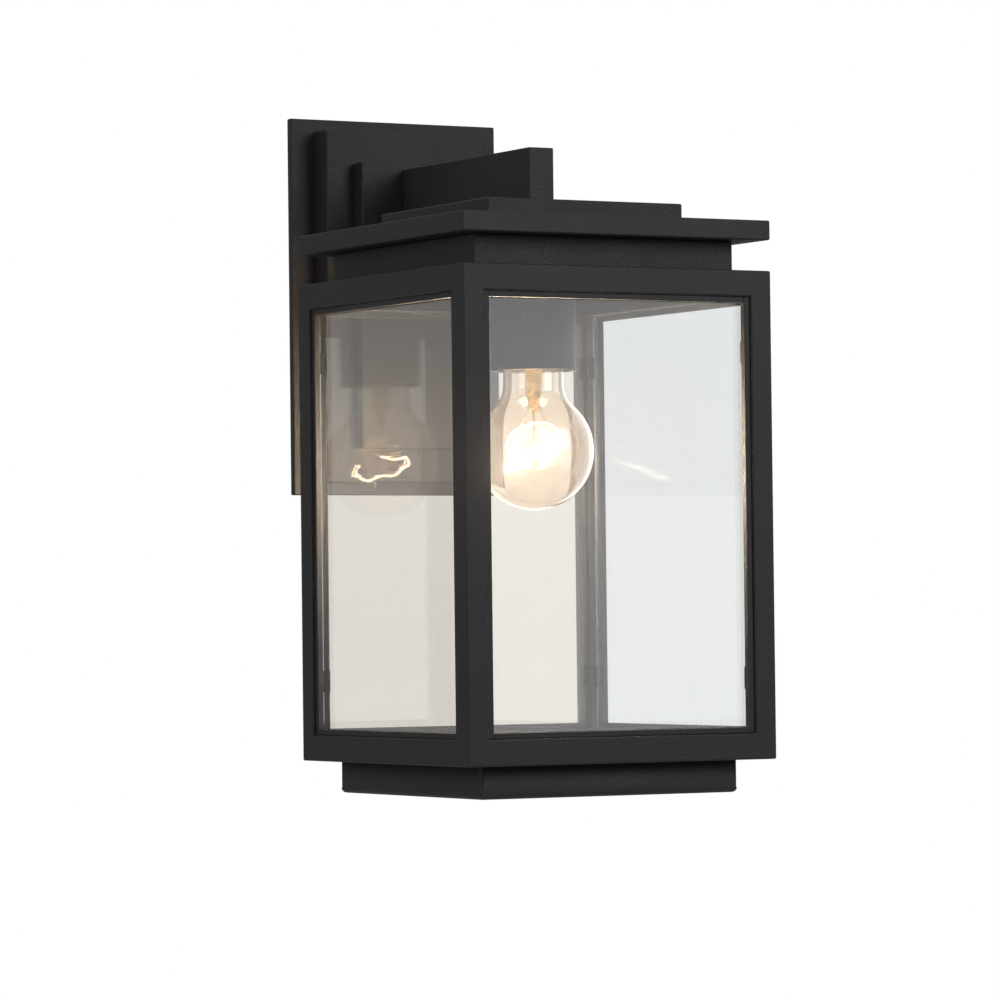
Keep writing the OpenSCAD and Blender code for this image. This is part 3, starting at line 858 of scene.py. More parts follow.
@dataclass
class WallMount:
    """The stepped wall plate, with what it hides: bracket, gasket, grommet and terminals.

    Args:
        sheet: Thickness of the sheet metal.
        plate_rounding: Rounding of the plates' edges.
        block_screw_x: Sideways place of the block's screws.
        block_screw_z: Upright place of the block's screws.
        cover_screw_y: Distance from the wall to the cover screws.
        terminal_pitch: Distance between the terminal block's ways.
        clamp_z: Distance of a clamp screw from the block's middle height.
        clamp_depth: How deep it stands in its well.
    """

    sheet: float = 1.5
    plate_rounding: float = 0.7
    block_screw_x: float = 20.0
    block_screw_z: float = 55.0
    cover_screw_y: float = 10.5
    terminal_pitch: float = 9.0
    clamp_z: float = 5.0
    clamp_depth: float = 2.2

    def build(self) -> None:
        """Make the plates, the block and the screws."""
        plate, raised, block = (node_box(n) for n in ("wall_plate", "raised_plate", "arm_block"))
        t = self.sheet
        side, deep = np.array([t, 0, t]), np.array([0, t, 0])
        hollow = [raised[0] + side, raised[1] - side]
        through = [[hollow[0][0], plate[0][1] - 1, hollow[0][2]], [hollow[1][0], 1, hollow[1][2]]]
        rim = [plate[0] + side + deep, plate[1] - side + [0, 1, 0]]
        make_piece("wall_pan", carved([plate], [rim, through]), CHARCOAL, nodes=["wall_plate"],
                   rounding=self.plate_rounding)
        inside = [hollow[0] + deep, hollow[1] + [0, 1, 0]]
        make_piece("raised_pan", carved([raised], [inside]), CHARCOAL, nodes=["raised_plate"],
                   rounding=self.plate_rounding)
        make_piece("carrier_block", carved([block]), CHARCOAL, nodes=["arm_block"],
                   rounding=self.plate_rounding)
        short = Screw(length=7.4, **M4)
        seat = block[1][1] + t
        places = [(x, seat, z) for x in (-self.block_screw_x, self.block_screw_x)
                  for z in (-self.block_screw_z, self.block_screw_z)]
        make_piece("block_screw_set", together([short.placed(p, (0, -1, 0)) for p in places]), ZINC,
                   nodes=["block_screws"])
        cover = Screw(length=8.0, **M4)
        edge = raised[1][0]
        pair = [cover.placed((s * edge, -self.cover_screw_y, 0), (-s, 0, 0)) for s in (-1, 1)]
        make_piece("cover_screw_pair", together(pair), CHARCOAL, nodes=["cover_screws"])

    def build_terminal_screws(self) -> None:
        """Make the six clamp screws that stand in the terminal block's wells."""
        box = node_box("terminal_block")
        middle = box.mean(0)
        clamp = Screw(shank=1.1, head=1.7, rise=1.2, length=2.4, pitch=0.5)
        places = [(middle[0] + s * self.terminal_pitch, box[1][1] - self.clamp_depth,
                   middle[2] + up * self.clamp_z) for s in (-1, 0, 1) for up in (-1, 1)]
        set_of_six = together([clamp.placed(p, (0, -1, 0)) for p in places])
        make_piece("terminal_clamp_screws", set_of_six, BRASS)

    def dress(self, frame: Mapping[str, Any]) -> None:
        """Finish the nodes that keep their shapes.

        Args:
            frame: What the frame's loading returned.
        """
        dress_node(frame, "wall_gasket", FOAM)
        dress_node(frame, "mounting_bracket", ZINC)
        dress_node(frame, "cable_grommet", RUBBER)
        dress_node(frame, "terminal_block", POLYAMIDE)


@dataclass
class Arm:
    """The rectangular bar from the wall plate to the roof, with its bolts.

    Args:
        rounding: Rounding of the bar's edges.
        sheet: Thickness of the bar's wall.
    """

    rounding: float = 0.6
    sheet: float = 1.5

    def build(self, axis_y: float) -> None:
        """Make the bar and its two bolts.

        Args:
            axis_y: Place of the lantern's upright axis.
        """
        bar = node_box("arm_tube")
        t = self.sheet
        hollow = [bar[0] + t, bar[1] + [-t, 1, -t]]
        way = wire_way(axis_y, bar[0][2] - 1, bar[0][2] + t)
        make_piece("arm_bar", carved([bar], [hollow, way]), CHARCOAL, nodes=["arm_tube"],
                   rounding=self.rounding)
        bolts = node_box("arm_bolts")
        seat = bolts[0][2] + M5["rise"]
        bolt = Screw(length=bolts[1][2] - seat, **M5)
        reach = M5["head"]
        pair = [bolt.placed((0, y, seat), UP) for y in (bolts[0][1] + reach, bolts[1][1] - reach)]
        make_piece("arm_bolt_pair", together(pair), ZINC, nodes=["arm_bolts"])

    def dress(self, frame: Mapping[str, Any]) -> None:
        """Finish the inserts."""
        dress_node(frame, "arm_inserts", ZINC)


@dataclass
class Roof:
    """The small slab, the roof tray and the neck band.

    Args:
        rounding: Rounding of the slabs' edges.
        sheet: Thickness of the sheet metal.
        tie: Place of the tie screws from the axis.
        slab_wall: Thickness of the small slab's walls and top.
        boss_half: Half width of the boss under the arm, inside the small slab.
        boss_front: How far the boss reaches in front of the axis.
        boss_back: How far it reaches behind the axis.
    """

    rounding: float = 0.8
    sheet: float = 1.5
    tie: float = 58.0
    slab_wall: float = 2.0
    boss_half: float = 12.0
    boss_front: float = 16.0
    boss_back: float = 32.0

    def build(self, axis_y: float) -> None:
        """Make the slabs, the neck and the screws that tie them.

        Args:
            axis_y: Place of the lantern's upright axis.
        """
        cap, roof, neck = (node_box(n) for n in ("cap_slab", "roof_shell", "neck_collar"))
        inset = np.array([self.slab_wall, self.slab_wall, 0.0])
        hollow = [cap[0] + inset - [0, 0, 1], cap[1] - inset - [0, 0, self.slab_wall]]
        way = wire_way(axis_y, cap[0][2] - 1, cap[1][2] + 1)
        boss = [[-self.boss_half, axis_y - self.boss_front, cap[0][2]],
                [self.boss_half, axis_y + self.boss_back, cap[1][2] - 1]]
        slab = carved([cap], [hollow])
        make_piece("small_slab", slab, CHARCOAL, nodes=["cap_slab"], rounding=self.rounding)
        make_piece("small_slab_boss", carved([boss], [way]), CHARCOAL, rounding=0.3)
        t = self.sheet
        wall = np.array([t, t, 0])
        void = [roof[0] + wall - [0, 0, 1], roof[1] - wall - [0, 0, t]]
        way_down = wire_way(axis_y, roof[0][2] - 1, roof[1][2] + 1)
        make_piece("roof_tray", carved([roof], [void, way_down]), CHARCOAL, nodes=["roof_shell"],
                   rounding=self.rounding)
        well = [neck[0] + wall - [0, 0, 1], neck[1] - wall + [0, 0, 1]]
        make_piece("neck_band", carved([neck], [well]), CHARCOAL, nodes=["neck_collar"], rounding=0.6)
        ties = node_box("tie_screws")
        seat = ties[0][2] + M4["rise"]
        tie = Screw(length=ties[1][2] - seat, **M4)
        places = [(sx * self.tie, axis_y + sy * self.tie, seat) for sx in (-1, 1) for sy in (-1, 1)]
        make_piece("tie_screw_set", together([tie.placed(p, UP) for p in places]), ZINC,
                   nodes=["tie_screws"])

    def dress(self, frame: Mapping[str, Any]) -> None:
        """Finish the plates that close the roof and the lamp space."""
        dress_node(frame, "roof_soffit", CHARCOAL)
        dress_node(frame, "ceiling_plate", CHARCOAL)


@dataclass
class GlazedFrame:
    """Four posts, eight rails, four panes and the beads that hold them.

    Args:
        rounding: Rounding of the welded frame's edges.
        bead_rounding: Rounding of the beads' edges.
        bead_side: Width of an upright bead.
        bead_rail: Height of a level bead.
    """

    rounding: float = 0.8
    bead_rounding: float = 0.35
    bead_side: float = 3.0
    bead_rail: float = 2.7

    def build_frame(self, axis_y: float) -> None:
        """Make the posts and rails as one welded frame.

        Args:
            axis_y: Place of the lantern's upright axis.
        """
        top, bottom = node_box("rail_top_front"), node_box("rail_bottom_front")
        post = node_box("post_front_right")
        half, inner = post[1][0], post[0][0]
        low, high = bottom[0][2], top[1][2]
        sill, lintel = bottom[1][2], top[0][2]
        outer = [[-half, axis_y - half, low], [half, axis_y + half, high]]
        well = [[-inner, axis_y - inner, low - 1], [inner, axis_y + inner, high + 1]]
        across = [[-half - 1, axis_y - inner, sill], [half + 1, axis_y + inner, lintel]]
        through = [[-inner, axis_y - half - 1, sill], [inner, axis_y + half + 1, lintel]]
        words = [side.word for side in Side]
        nodes = [f"rail_{level}_{word}" for level in ("top", "bottom") for word in words]
        nodes += ["post_front_right", "post_rear_right", "post_rear_left", "post_front_left"]
        make_piece("welded_frame", carved([outer], [well, across, through]), CHARCOAL, nodes=nodes,
                   rounding=self.rounding)

    def build_beads(self, axis_y: float) -> None:
        """Make the four strips of each side, where the frame's own beads are.

        Args:
            axis_y: Place of the lantern's upright axis.
        """
        front = node_box("beads_front") - [0, axis_y, 0]
        (x0, y0, z0), (x1, y1, z1) = front
        side, rail = self.bead_side, self.bead_rail
        strips = [
            [[x0 + side, y0, z1 - rail], [x1 - side, y1, z1]],
            [[x0 + side, y0, z0], [x1 - side, y1, z0 + rail]],
            [[x0, y0, z0], [x0 + side, y1, z1]],
            [[x1 - side, y0, z0], [x1, y1, z1]],
        ]
        shape = together([carved([strip]) for strip in strips])
        for side_name in Side:
            placed = shape.turned(quarter_turns(side_name.value)).moved((0, axis_y, 0))
            make_piece(f"glazing_strips_{side_name.word}", placed, CHARCOAL,
                       nodes=[f"beads_{side_name.word}"], rounding=self.bead_rounding)

    def dress(self, frame: Mapping[str, Any]) -> None:
        """Finish the panes and their tabs.

        Args:
            frame: What the frame's loading returned.
        """
        for side in Side:
            # The rear pane's warm tint is painted light, standing in for the lamp's glow on the wall
            # behind it.
            finish = DUSTY_GLASS_PAINTED_GLOW if side is Side.REAR else FLOAT_GLASS
            let_light_through(dress_node(frame, f"glass_{side.word}", finish))
        dress_node(frame, "glass_tabs", CHARCOAL)


@dataclass
class Base:
    """The band under the frame, with its floor, spacers and screws.

    Args:
        edge: Radius of the band's lower outer edge.
        corner: Radius of its upright corners.
        sheet: Thickness of its wall.
        screw_place: Place of the floor screws from the axis.
    """

    edge: float = 2.6
    corner: float = 1.6
    sheet: float = 1.5
    screw_place: float = 61.0

    def build(self, axis_y: float) -> None:
        """Make the band and the floor screws.

        The band's outline is its outer wall, an arc under it and its inner wall.

        Args:
            axis_y: Place of the lantern's upright axis.
        """
        box = node_box("base_collar")
        half, low, high = box[1][0], box[0][2], box[1][2]
        r, t = self.edge, self.sheet
        outer = arc((half - r, low + r), r, -90, 0, 8)
        outline = np.concatenate([
            outer, [[half, high - 0.4], [half - 0.4, high], [half - t, high], [half - t, low + r],
                    [half - r, low + 0.6]]])
        inset = half - outline[:, 0]
        corner = np.maximum(self.corner - inset, 0.15) + 1.0 * (inset < 0.01)  # outer wall rounder
        shape = rounded_square_loft(outline[:, 0], corner, outline[:, 1]).moved((0, axis_y, 0))
        band = make_piece("base_band", shape, CHARCOAL, nodes=["base_collar"])
        sharpen(band, 35)
        screws = node_box("floor_screws")
        seat = screws[0][2] + M4["rise"]
        screw = Screw(length=screws[1][2] - seat, **M4)
        place = self.screw_place
        places = [(sx * place, axis_y + sy * place, seat) for sx in (-1, 1) for sy in (-1, 1)]
        make_piece("floor_screw_set", together([screw.placed(p, UP) for p in places]), ZINC,
                   nodes=["floor_screws"])

    def dress(self, frame: Mapping[str, Any]) -> None:
        """Finish the plates and the spacers.

        Args:
            frame: What the frame's loading returned.
        """
        dress_node(frame, "sill_plate", CHARCOAL)
        dress_node(frame, "base_floor", CHARCOAL)
        dress_node(frame, "floor_spacers", ZINC)


def sharpen(piece: bpy.types.Object, degrees: float) -> None:
    """Mark the edges that turn by more than an angle as sharp, so that flats stay flat."""
    piece.data.set_sharp_from_angle(angle=math.radians(degrees))


@dataclass
class Wires:
    """The three sleeved wires from the terminals through the arm.

    Args:
        radius: Radius of a sleeve.
        pitch: Distance between the terminals.
        live_dy: Where the live wire goes down, behind the lantern's axis.
        earth_dy: The same for the earth wire.
        ring_dy: Where the earth wire's ring terminal is screwed down, behind the axis.
        ring_seat: Height of its screw's seat over the ceiling plate.
        lug_screw: Place of the bracket's earth screw.
        screw_rise: Height of an earth screw's head.
        screw_length: Length of its shank.
    """

    radius: float = 1.1
    pitch: float = 9.0
    live_dy: float = 6.1
    earth_dy: float = 10.9
    ring_dy: float = 36.0
    ring_seat: float = 1.3
    lug_screw: tuple[float, float, float] = (11.0, -3.3, -26.0)
    screw_rise: float = 2.2
    screw_length: float = 2.9

    def along_arm(self, x: float, z: float, down_y: float) -> list[list[float]]:
        """Route from a terminal, up behind the plate, along the arm and down.

        Args:
            x: Sideways place of the terminal.
            z: Height of the run in the arm.
            down_y: Where the wire turns down.

        Returns:
            The route's points.
        """
        block = node_box("arm_block")
        face = block[1][1]
        start_y = face + 5.5
        terminal = node_box("terminal_block").mean(0)[2]
        run = [[0, y, z] for y in np.linspace(face - 3, down_y + 6, 8)]
        arm_z, cap_z = node_box("arm_tube")[0][2], node_box("cap_slab")[0][2]
        return [[x, start_y, terminal + 4], [x, start_y, terminal + 12], [x * 0.7, start_y, z - 5],
                [x * 0.3, start_y - 1, z - 1.5], [0, start_y - 3, z], *run,
                [0, down_y + 4, z - 0.4], [0, down_y + 1.4, z - 2], [0, down_y, z - 5],
                [0, down_y, arm_z + 1], [0, down_y, cap_z + 2]]

    def build(self, axis_y: float) -> None:
        """Make the three sleeves and the earth wire's ring terminal.

        Args:
            axis_y: Place of the lantern's upright axis.
        """
        neck = node_box("neck_collar")
        top, low = neck[1][2], neck[0][2]
        middle = node_box("arm_tube").mean(0)[2]
        rows = [("live", -self.pitch, 3.0, self.live_dy, -1.6, LIVE_SLEEVE),
                ("neutral", self.pitch, 0.0, WAY_DY, 1.6, NEUTRAL_SLEEVE)]
        for word, x, lift, dy, end_x, finish in rows:
            y = axis_y + dy
            route = self.along_arm(x, middle + lift, y) + [
                [0, y, top + 1], [end_x / 2, y - 1, top - 3], [end_x, axis_y + 1.2, top - 6],
                [end_x, axis_y, top - 9], [end_x, axis_y, low], [end_x, axis_y, 0]]
            self.make_wire(f"sleeve_{word}", route, finish, [f"wire_{word}"])
        y = axis_y + self.earth_dy
        screw_y = axis_y + self.ring_dy
        route = self.along_arm(0, middle - 3, y) + [
            [0, y, top - 1], [0, y + 2, top - 5], [0, y + 9, low + 5], [0, y + 16, low + 2.2],
            [0, screw_y - 4.3, low + 1.3]]
        self.make_wire("sleeve_earth", route, EARTH_SLEEVE, ["wire_earth"])
        ring = revolved([2.1, 4, 4, 2.1], [low + 0.1, low + 0.1, low + 1.2, low + 1.2], 48, loop=True)
        eye = make_piece("earth_ring_terminal", ring.moved((0, screw_y, 0)), BRASS)
        sharpen(eye, 40)

    def make_wire(self, name: str, route: Sequence[Sequence[float]], finish: Finish,
                  nodes: Sequence[str]) -> None:
        """Sweep one sleeve along its route."""
        shape = swept(smooth_route(route), (1, 0, 0), self.radius, 16)
        make_piece(name, shape, finish, nodes=nodes)

    def build_earth_screws(self, axis_y: float) -> None:
        """Make the two earth screws.

        Args:
            axis_y: Place of the lantern's upright axis.
        """
        earth = Screw(length=self.screw_length, **{**M4, "rise": self.screw_rise})
        first = earth.placed(self.lug_screw, (0, 1, 0))
        low = node_box("neck_collar")[0][2]
        second = earth.placed((0, axis_y + self.ring_dy, low + self.ring_seat), (0, 0, -1))
        make_piece("earth_screw_pair", together([first, second]), BRASS, nodes=["earth_screws"])


@dataclass
class Lampholder:
    """The cup, the porcelain, the screw shell and its contact.

    Args:
        cup_wall: Thickness of the cup.
        bend_out: Outer radius of the cup's shoulder.
        bend_in: Inner radius of it.
        bore: Radius of the cup's hole for the nipple.
        pitch: Pitch of the lamp thread.
        crest: Largest radius inside the shell's thread.
        wave: Half the depth of the thread.
        metal: Thickness of the shell.
    """

    cup_wall: float = 1.0
    bend_out: float = 1.6
    bend_in: float = 0.8
    bore: float = 5.1
    pitch: float = 3.629
    crest: float = 13.45
    wave: float = 0.42
    metal: float = 0.35

    def build(self, axis_y: float) -> None:
        """Make the cup, the porcelain body and the threaded shell.

        Args:
            axis_y: Place of the lantern's upright axis.
        """
        cup = node_box("holder_cup")
        r, low, high, w = cup[1][0], cup[0][2], cup[1][2], self.cup_wall
        lip = arc((r - w / 2, low + w / 2), w / 2, -180, 0, 6)
        shoulder = arc((r - self.bend_out, high - self.bend_out), self.bend_out, 0, 90, 6)
        under = arc((r - w - self.bend_in, high - w - self.bend_in), self.bend_in, 90, 0, 4)
        outline = np.concatenate([lip, shoulder, [[self.bore, high], [self.bore, high - w]], under])
        shape = revolved(outline[:, 0], outline[:, 1], 128, loop=True).moved((0, axis_y, 0))
        sharpen(make_piece("lamp_cup", shape, CHARCOAL, nodes=["holder_cup"]), 40)
        body = node_box("holder_body")
        shell = node_box("holder_shell")
        out, in_r = body[1][0], shell[1][0] + 0.4
        bottom, top, socket = body[0][2], body[1][2], shell[1][2]
        rim = arc((out - 1, bottom + 1), 1, -90, 0, 4)
        foot = arc((in_r + 0.8, bottom + 0.8), 0.8, -180, -90, 4)
        outline = np.concatenate([
            [[0, socket]], [[in_r, socket]], foot, rim, arc((out - 1, top - 1), 1, 0, 90, 4),
            [[5.05, top], [5.05, socket + 1], [0, socket + 1]]])
        shape = revolved(outline[:, 0], outline[:, 1], 96).moved((0, axis_y, 0))
        sharpen(make_piece("lampholder_porcelain", shape, PORCELAIN, nodes=["holder_body"]), 50)
        self.build_shell(axis_y, shell)

    def build_shell(self, axis_y: float, shell: np.ndarray) -> None:
        """Make the screw shell.

        The inner radius is crest - wave + wave cos(2 pi z / pitch - angle), a right-hand
        helix, widened to the crest at both ends. The outer skin is one metal thickness
        further out.

        Args:
            axis_y: Place of the lantern's upright axis.
            shell: Box of the shell's node.
        """
        low, high = shell[0][2], shell[1][2]
        count = 96
        angle = np.arange(count) * 2 * np.pi / count
        z = np.linspace(low, high - 2.0, 96)[:, None]
        fade = np.clip((z - low) / 2.0, 0, 1) * np.clip((high - 2.0 - z) / 2.0, 0, 1)
        inner = self.crest - self.wave * fade * (1 - np.cos(2 * np.pi * z / self.pitch - angle))
        tall = np.broadcast_to(z, inner.shape)
        lid_r = np.full((2, count), [[7.0], [7.0]])
        lid_z = np.full((2, count), [[high - 0.6], [high]])
        bend_in = np.full((1, count), self.crest - 0.6), np.full((1, count), high - 0.6)
        bend_out = np.full((1, count), self.crest + self.metal - 0.5), np.full((1, count), high)
        radius = np.concatenate([inner[::-1], inner + self.metal, bend_out[0], lid_r[::-1], bend_in[0]])
        height = np.concatenate([tall[::-1], tall, bend_out[1], lid_z[::-1], bend_in[1]])
        shape = revolved(radius, height, count, loop=True).moved((0, axis_y, 0))
        sharpen(make_piece("threaded_shell", shape, BRASS, nodes=["holder_shell"]), 50)

    def dress(self, frame: Mapping[str, Any]) -> None:
        """Finish the nodes that keep their shapes.

        Args:
            frame: What the frame's loading returned.
        """
        dress_node(frame, "holder_contact", BRASS)
        dress_node(frame, "holder_nipple", ZINC)
        dress_node(frame, "nipple_nut", ZINC)


@dataclass
class Bulb:
    """The clear bulb: its blown envelope, stem, filament and screw cap.

    Args:
        globe: Radius of the globe.
        wall: Thickness of the glass.
        neck: Radius of the neck inside the cap.
        waist: Radius of the neck where it shows.
        bend: Radius of the bend into the globe.
        neck_top: Height of the neck's open end.
        taper_top: Height where the neck starts to widen.
        taper: Height over which it widens.
        pitch: Pitch of the lamp thread.
        crest: Outer radius of the cap's thread.
        wave: Half the depth of the cap's thread.
        hoop: Radius of the filament's hoop.
        hoop_z: Height of the hoop's middle.
        hoop_lean: How far the hoop rises and falls from there.
        hoop_high: Direction in which it is highest, in degrees.
        hoop_start: Angle where it starts, in degrees.
        hoop_turn: Angle that it spans, in degrees.
        scallops: Number of sags between hooks.
        sag: Depth of a sag.
        coil_pitch: Length of hoop per turn of the coil.
        coil: Radius of the coil.
        coil_wire: Radius of its wire.
        lead_wire: Radius of the two leads.
        hook_wire: Radius of the hooks.
    """

    globe: float = 27.5
    wall: float = 0.6
    neck: float = 12.6
    waist: float = 14.0
    bend: float = 14.0
    neck_top: float = -15.0
    taper_top: float = -30.5
    taper: float = 7.5
    pitch: float = 3.629
    crest: float = 13.1
    wave: float = 0.42
    hoop: float = 13.0
    hoop_z: float = -76.0
    hoop_lean: float = 5.5
    hoop_high: float = -35.0
    hoop_start: float = -60.0
    hoop_turn: float = 300.0
    scallops: int = 5
    sag: float = 1.8
    coil_pitch: float = 0.9
    coil: float = 0.4
    coil_wire: float = 0.16
    lead_wire: float = 0.34
    hook_wire: float = 0.2

    def skin(self, wall: float, low: float) -> np.ndarray:
        """The envelope's outline, some way inside its skin.

        From the neck it widens along half a cosine wave, turns along an arc that touches
        both the waist and the globe, and ends as a circle on the axis.

        Args:
            wall: Distance inside the skin.
            low: Height of the globe's lowest point.

        Returns:
            Rows of radius and height, from the neck down to the axis.
        """
        centre = low + self.globe
        t = np.linspace(0, 1, 13)
        taper = np.stack([
            self.neck + (self.waist - self.neck) * (1 - np.cos(np.pi * t)) / 2 - wall,
            self.taper_top - self.taper * t], axis=1)
        away, reach = self.waist + self.bend, self.globe + self.bend
        join = math.degrees(math.acos(away / reach))
        bend_z = centre + math.sqrt(reach**2 - away**2)
        bend = arc((away, bend_z), self.bend + wall, 180, 180 + join, 18)[1:]
        globe = arc((0, centre), self.globe - wall, join, -90, 48)[1:]
        globe[-1, 0] = 0.0
        return np.concatenate([[[self.neck - wall, self.neck_top]], taper, bend, globe])

    def build_glass(self, axis_y: float) -> None:
        """Make the envelope and the stem.

        Args:
            axis_y: Place of the lantern's upright axis.
        """
        low = node_box("bulb_glass")[0][2]
        outer, inner = self.skin(0, low), self.skin(self.wall, low)
        outline = np.concatenate([inner[::-1], outer])
        shape = revolved(outline[::-1, 0], outline[::-1, 1], 160).moved((0, axis_y, 0))
        envelope = make_piece("blown_envelope", shape, BLOWN_GLASS, Body.BULB, ["bulb_glass"])
        let_light_through(envelope)
        stem = np.array([
            [0, -56.0], [1.6, -55.8], [2.6, -54.8], [2.9, -53.2], [2.6, -51.6], [2.9, -50.2],
            [3.7, -48.5], [3.9, -44], [4.0, -38], [4.3, -32], [5.4, -27.5],
            [6.6, -25], [8.6, -21.5], [11.3, -18.9],
            [11.6, -18.3], [11.4, -17.2], [10.4, -17], [0, -17]])
        shape = revolved(stem[:, 0], stem[:, 1], 64).moved((0, axis_y, 0))
        piece = make_piece("pinched_stem", shape, STEM_GLASS, Body.BULB, ["bulb_stem"])
        let_light_through(piece)

    def build_filament(self, axis_y: float) -> None:
        """Make the coiled filament, its leads and its hooks.

        The coil's point at length s along the hoop is the hoop's point plus the coil's radius
        times (cos p) outwards and (sin p) upwards, where the phase p turns once per pitch. A
        real coil is finer, and this is as coarse as it needs to show. Between its hooks the
        hoop sags in scallops: the sag times sin squared of pi times the scallops' count.

        Args:
            axis_y: Place of the lantern's upright axis.
        """
        span = math.radians(self.hoop_turn)
        turns = round(self.hoop * span / self.coil_pitch)
        share = np.linspace(0, 1, turns * 9 + 1)
        angle = math.radians(self.hoop_start) + span * share
        sag = self.sag * np.sin(share * np.pi * self.scallops) ** 2
        out = np.stack([np.cos(angle), np.sin(angle), np.zeros_like(angle)], axis=1)
        phase = 2 * np.pi * turns * share
        normal = np.cos(phase)[:, None] * out + np.sin(phase)[:, None] * np.array(UP)
        height = self.hoop_height(angle) - sag
        path = out * self.hoop + height[:, None] * np.array(UP) + self.coil * normal
        coil = swept(path, normal, self.coil_wire, 6).moved((0, axis_y, 0))
        glow = make_piece("filament_coil", coil, TUNGSTEN, Body.BULB, ["bulb_filament"])
        glow.visible_diffuse = False
        glow.visible_shadow = False
        ends = np.radians([self.hoop_start, self.hoop_start + self.hoop_turn])
        inner = np.arange(1, self.scallops)
        hooks = np.radians(self.hoop_start + self.hoop_turn * inner / self.scallops)
        wires = [self.holder(a, self.lead_wire) for a in ends]
        wires += [self.holder(a, self.hook_wire) for a in hooks]
        leads = together(wires).moved((0, axis_y, 0))
        holders = make_piece("filament_holders", leads, NICKEL_WIRE, Body.BULB)
        holders.visible_shadow = False

    def hoop_height(self, angle: Union[float, np.ndarray]) -> Union[float, np.ndarray]:
        """Height of the leaning hoop: its middle plus the lean times the cosine from its high side."""
        return self.hoop_z + self.hoop_lean * np.cos(angle - math.radians(self.hoop_high))

    def holder(self, angle: float, radius: float) -> Shape:
        """A wire from the stem's end to the hoop, on a plane through the axis.

        Args:
            angle: Direction of that plane, in radians.
            radius: Radius of the wire.

        Returns:
            The wire's skin, about the Z axis.
        """
        out = np.array([math.cos(angle), math.sin(angle), 0])
        end = self.hoop_height(angle)
        steps = np.array([[2.2, -52.6], [3.4, -54.0], [4.8, -58.0], [8.8, -64.6], [12.4, end + 1.2],
                          [13.0, end + 0.2]])
        route = steps[:, :1] * out + steps[:, 1:] * np.array(UP)
        return swept(smooth_route(route, 5), np.cross(UP, out), radius, 8)

    def build_cap(self, axis_y: float) -> None:
        """Make the screw cap and the solder tip.

        The cap's outer radius is crest - wave + wave cos(2 pi z / pitch - angle), the same
        right-hand helix as the lampholder's, fading out at both ends.

        Args:
            axis_y: Place of the lantern's upright axis.
        """
        box = node_box("bulb_cap")
        low, high = box[0][2], box[1][2]
        count = 96
        angle = np.arange(count) * 2 * np.pi / count
        z = np.linspace(low, high - 2.6, 96)[:, None]
        fade = np.clip((z - low - 1.6) / 1.5, 0, 1) * np.clip((high - 2.6 - z) / 1.5, 0, 1)
        outer = self.crest - self.wave * fade * (1 - np.cos(2 * np.pi * z / self.pitch - angle))
        tall = np.broadcast_to(z, outer.shape)
        ends = np.array([[12.6, high - 1.2], [11.7, high - 0.2], [11.2, high], [11.2, high - 0.5],
                         [12.1, high - 1.6]])
        radius = np.concatenate([outer, np.repeat(ends[:, :1], count, 1), (outer - 0.35)[::-1]])
        height = np.concatenate([tall, np.repeat(ends[:, 1:], count, 1), tall[::-1]])
        shape = revolved(radius, height, count, loop=True).moved((0, axis_y, 0))
        sharpen(make_piece("threaded_cap", shape, CAP_METAL, Body.BULB, ["bulb_cap"]), 50)
        tip = node_box("bulb_tip")
        r, t0, t1 = tip[1][0], tip[0][2], tip[1][2]
        dome = np.array([[0, t0], [r - 0.3, t0], [r, t0 + 0.25], [r * 0.93, t0 + 0.7],
                         [r * 0.7, t1 - 0.2],
                         [r * 0.4, t1 - 0.03], [0, t1]])
        shape = revolved(dome[:, 0], dome[:, 1], 48).moved((0, axis_y, 0))
        make_piece("solder_tip", shape, SOLDER, Body.BULB_TIP, ["bulb_tip"])

    def build_insulator(self, axis_y: float) -> None:
        """Make the black glass cone between cap and tip.

        Args:
            axis_y: Place of the lantern's upright axis.
        """
        box = node_box("bulb_insulator")
        r, low, high = box[1][0], box[0][2], box[1][2]
        cone = np.array([[0, low], [r - 0.2, low], [r, low + 0.3], [r - 0.1, low + 0.9],
                         [8.4, high - 1.5],
                         [5.4, high - 0.25], [4.8, high], [0, high]])
        shape = revolved(cone[:, 0], cone[:, 1], 64).moved((0, axis_y, 0))
        make_piece("black_glass_cone", shape, BLACK_GLASS, Body.BULB, ["bulb_insulator"])


# ---- Studio ----


@dataclass(frozen=True)
class Softbox:
    """A square soft light.

    Args:
        name: Its name.
        place: Where it hangs, in metres.
        power: Its power in watts.
        colour: Its colour as sRGB hex.
        size: Its side in metres.
        aim: What it points at, in metres.
    """

    name: str
    place: tuple[float, float, float]
    power: float
    colour: str = "#ffffff"
    size: float = 1.2
    aim: tuple[float, float, float] = (0.0, -0.137, -0.1)

    def hang(self) -> None:
        """Hang it unseen by the camera, its -Z axis towards its aim."""
        data = bpy.data.lights.new(self.name, "AREA")
        data.size, data.energy, data.color = self.size, self.power, linear(self.colour)[:3]
        light = bpy.data.objects.new(self.name, data)
        bpy.context.scene.collection.objects.link(light)
        light.location = self.place
        heading = Vector(self.aim) - Vector(self.place)
        light.rotation_euler = heading.to_track_quat("-Z", "Y").to_euler()
        light.visible_camera = False


# How far light is followed. A ray can cross four panes and the bulb, and the limit on bright
# indirect light is high enough to keep the filament's mirror image.
LIGHT_PATHS = {
    "use_denoising": True,
    "sample_clamp_indirect": 40.0,
    "max_bounces": 32,
    "transmission_bounces": 28,
    "glossy_bounces": 12,
    "transparent_max_bounces": 16,
}
# A large soft light in front on the right, and a weaker one on the left.
KEY_SOFTBOX = Softbox("key_softbox", (1.1, -2.2, 0.75), 20.0, "#fbfbff")
FILL_SOFTBOX = Softbox("fill_softbox", (-2.6, -1.0, 0.3), 10.5)


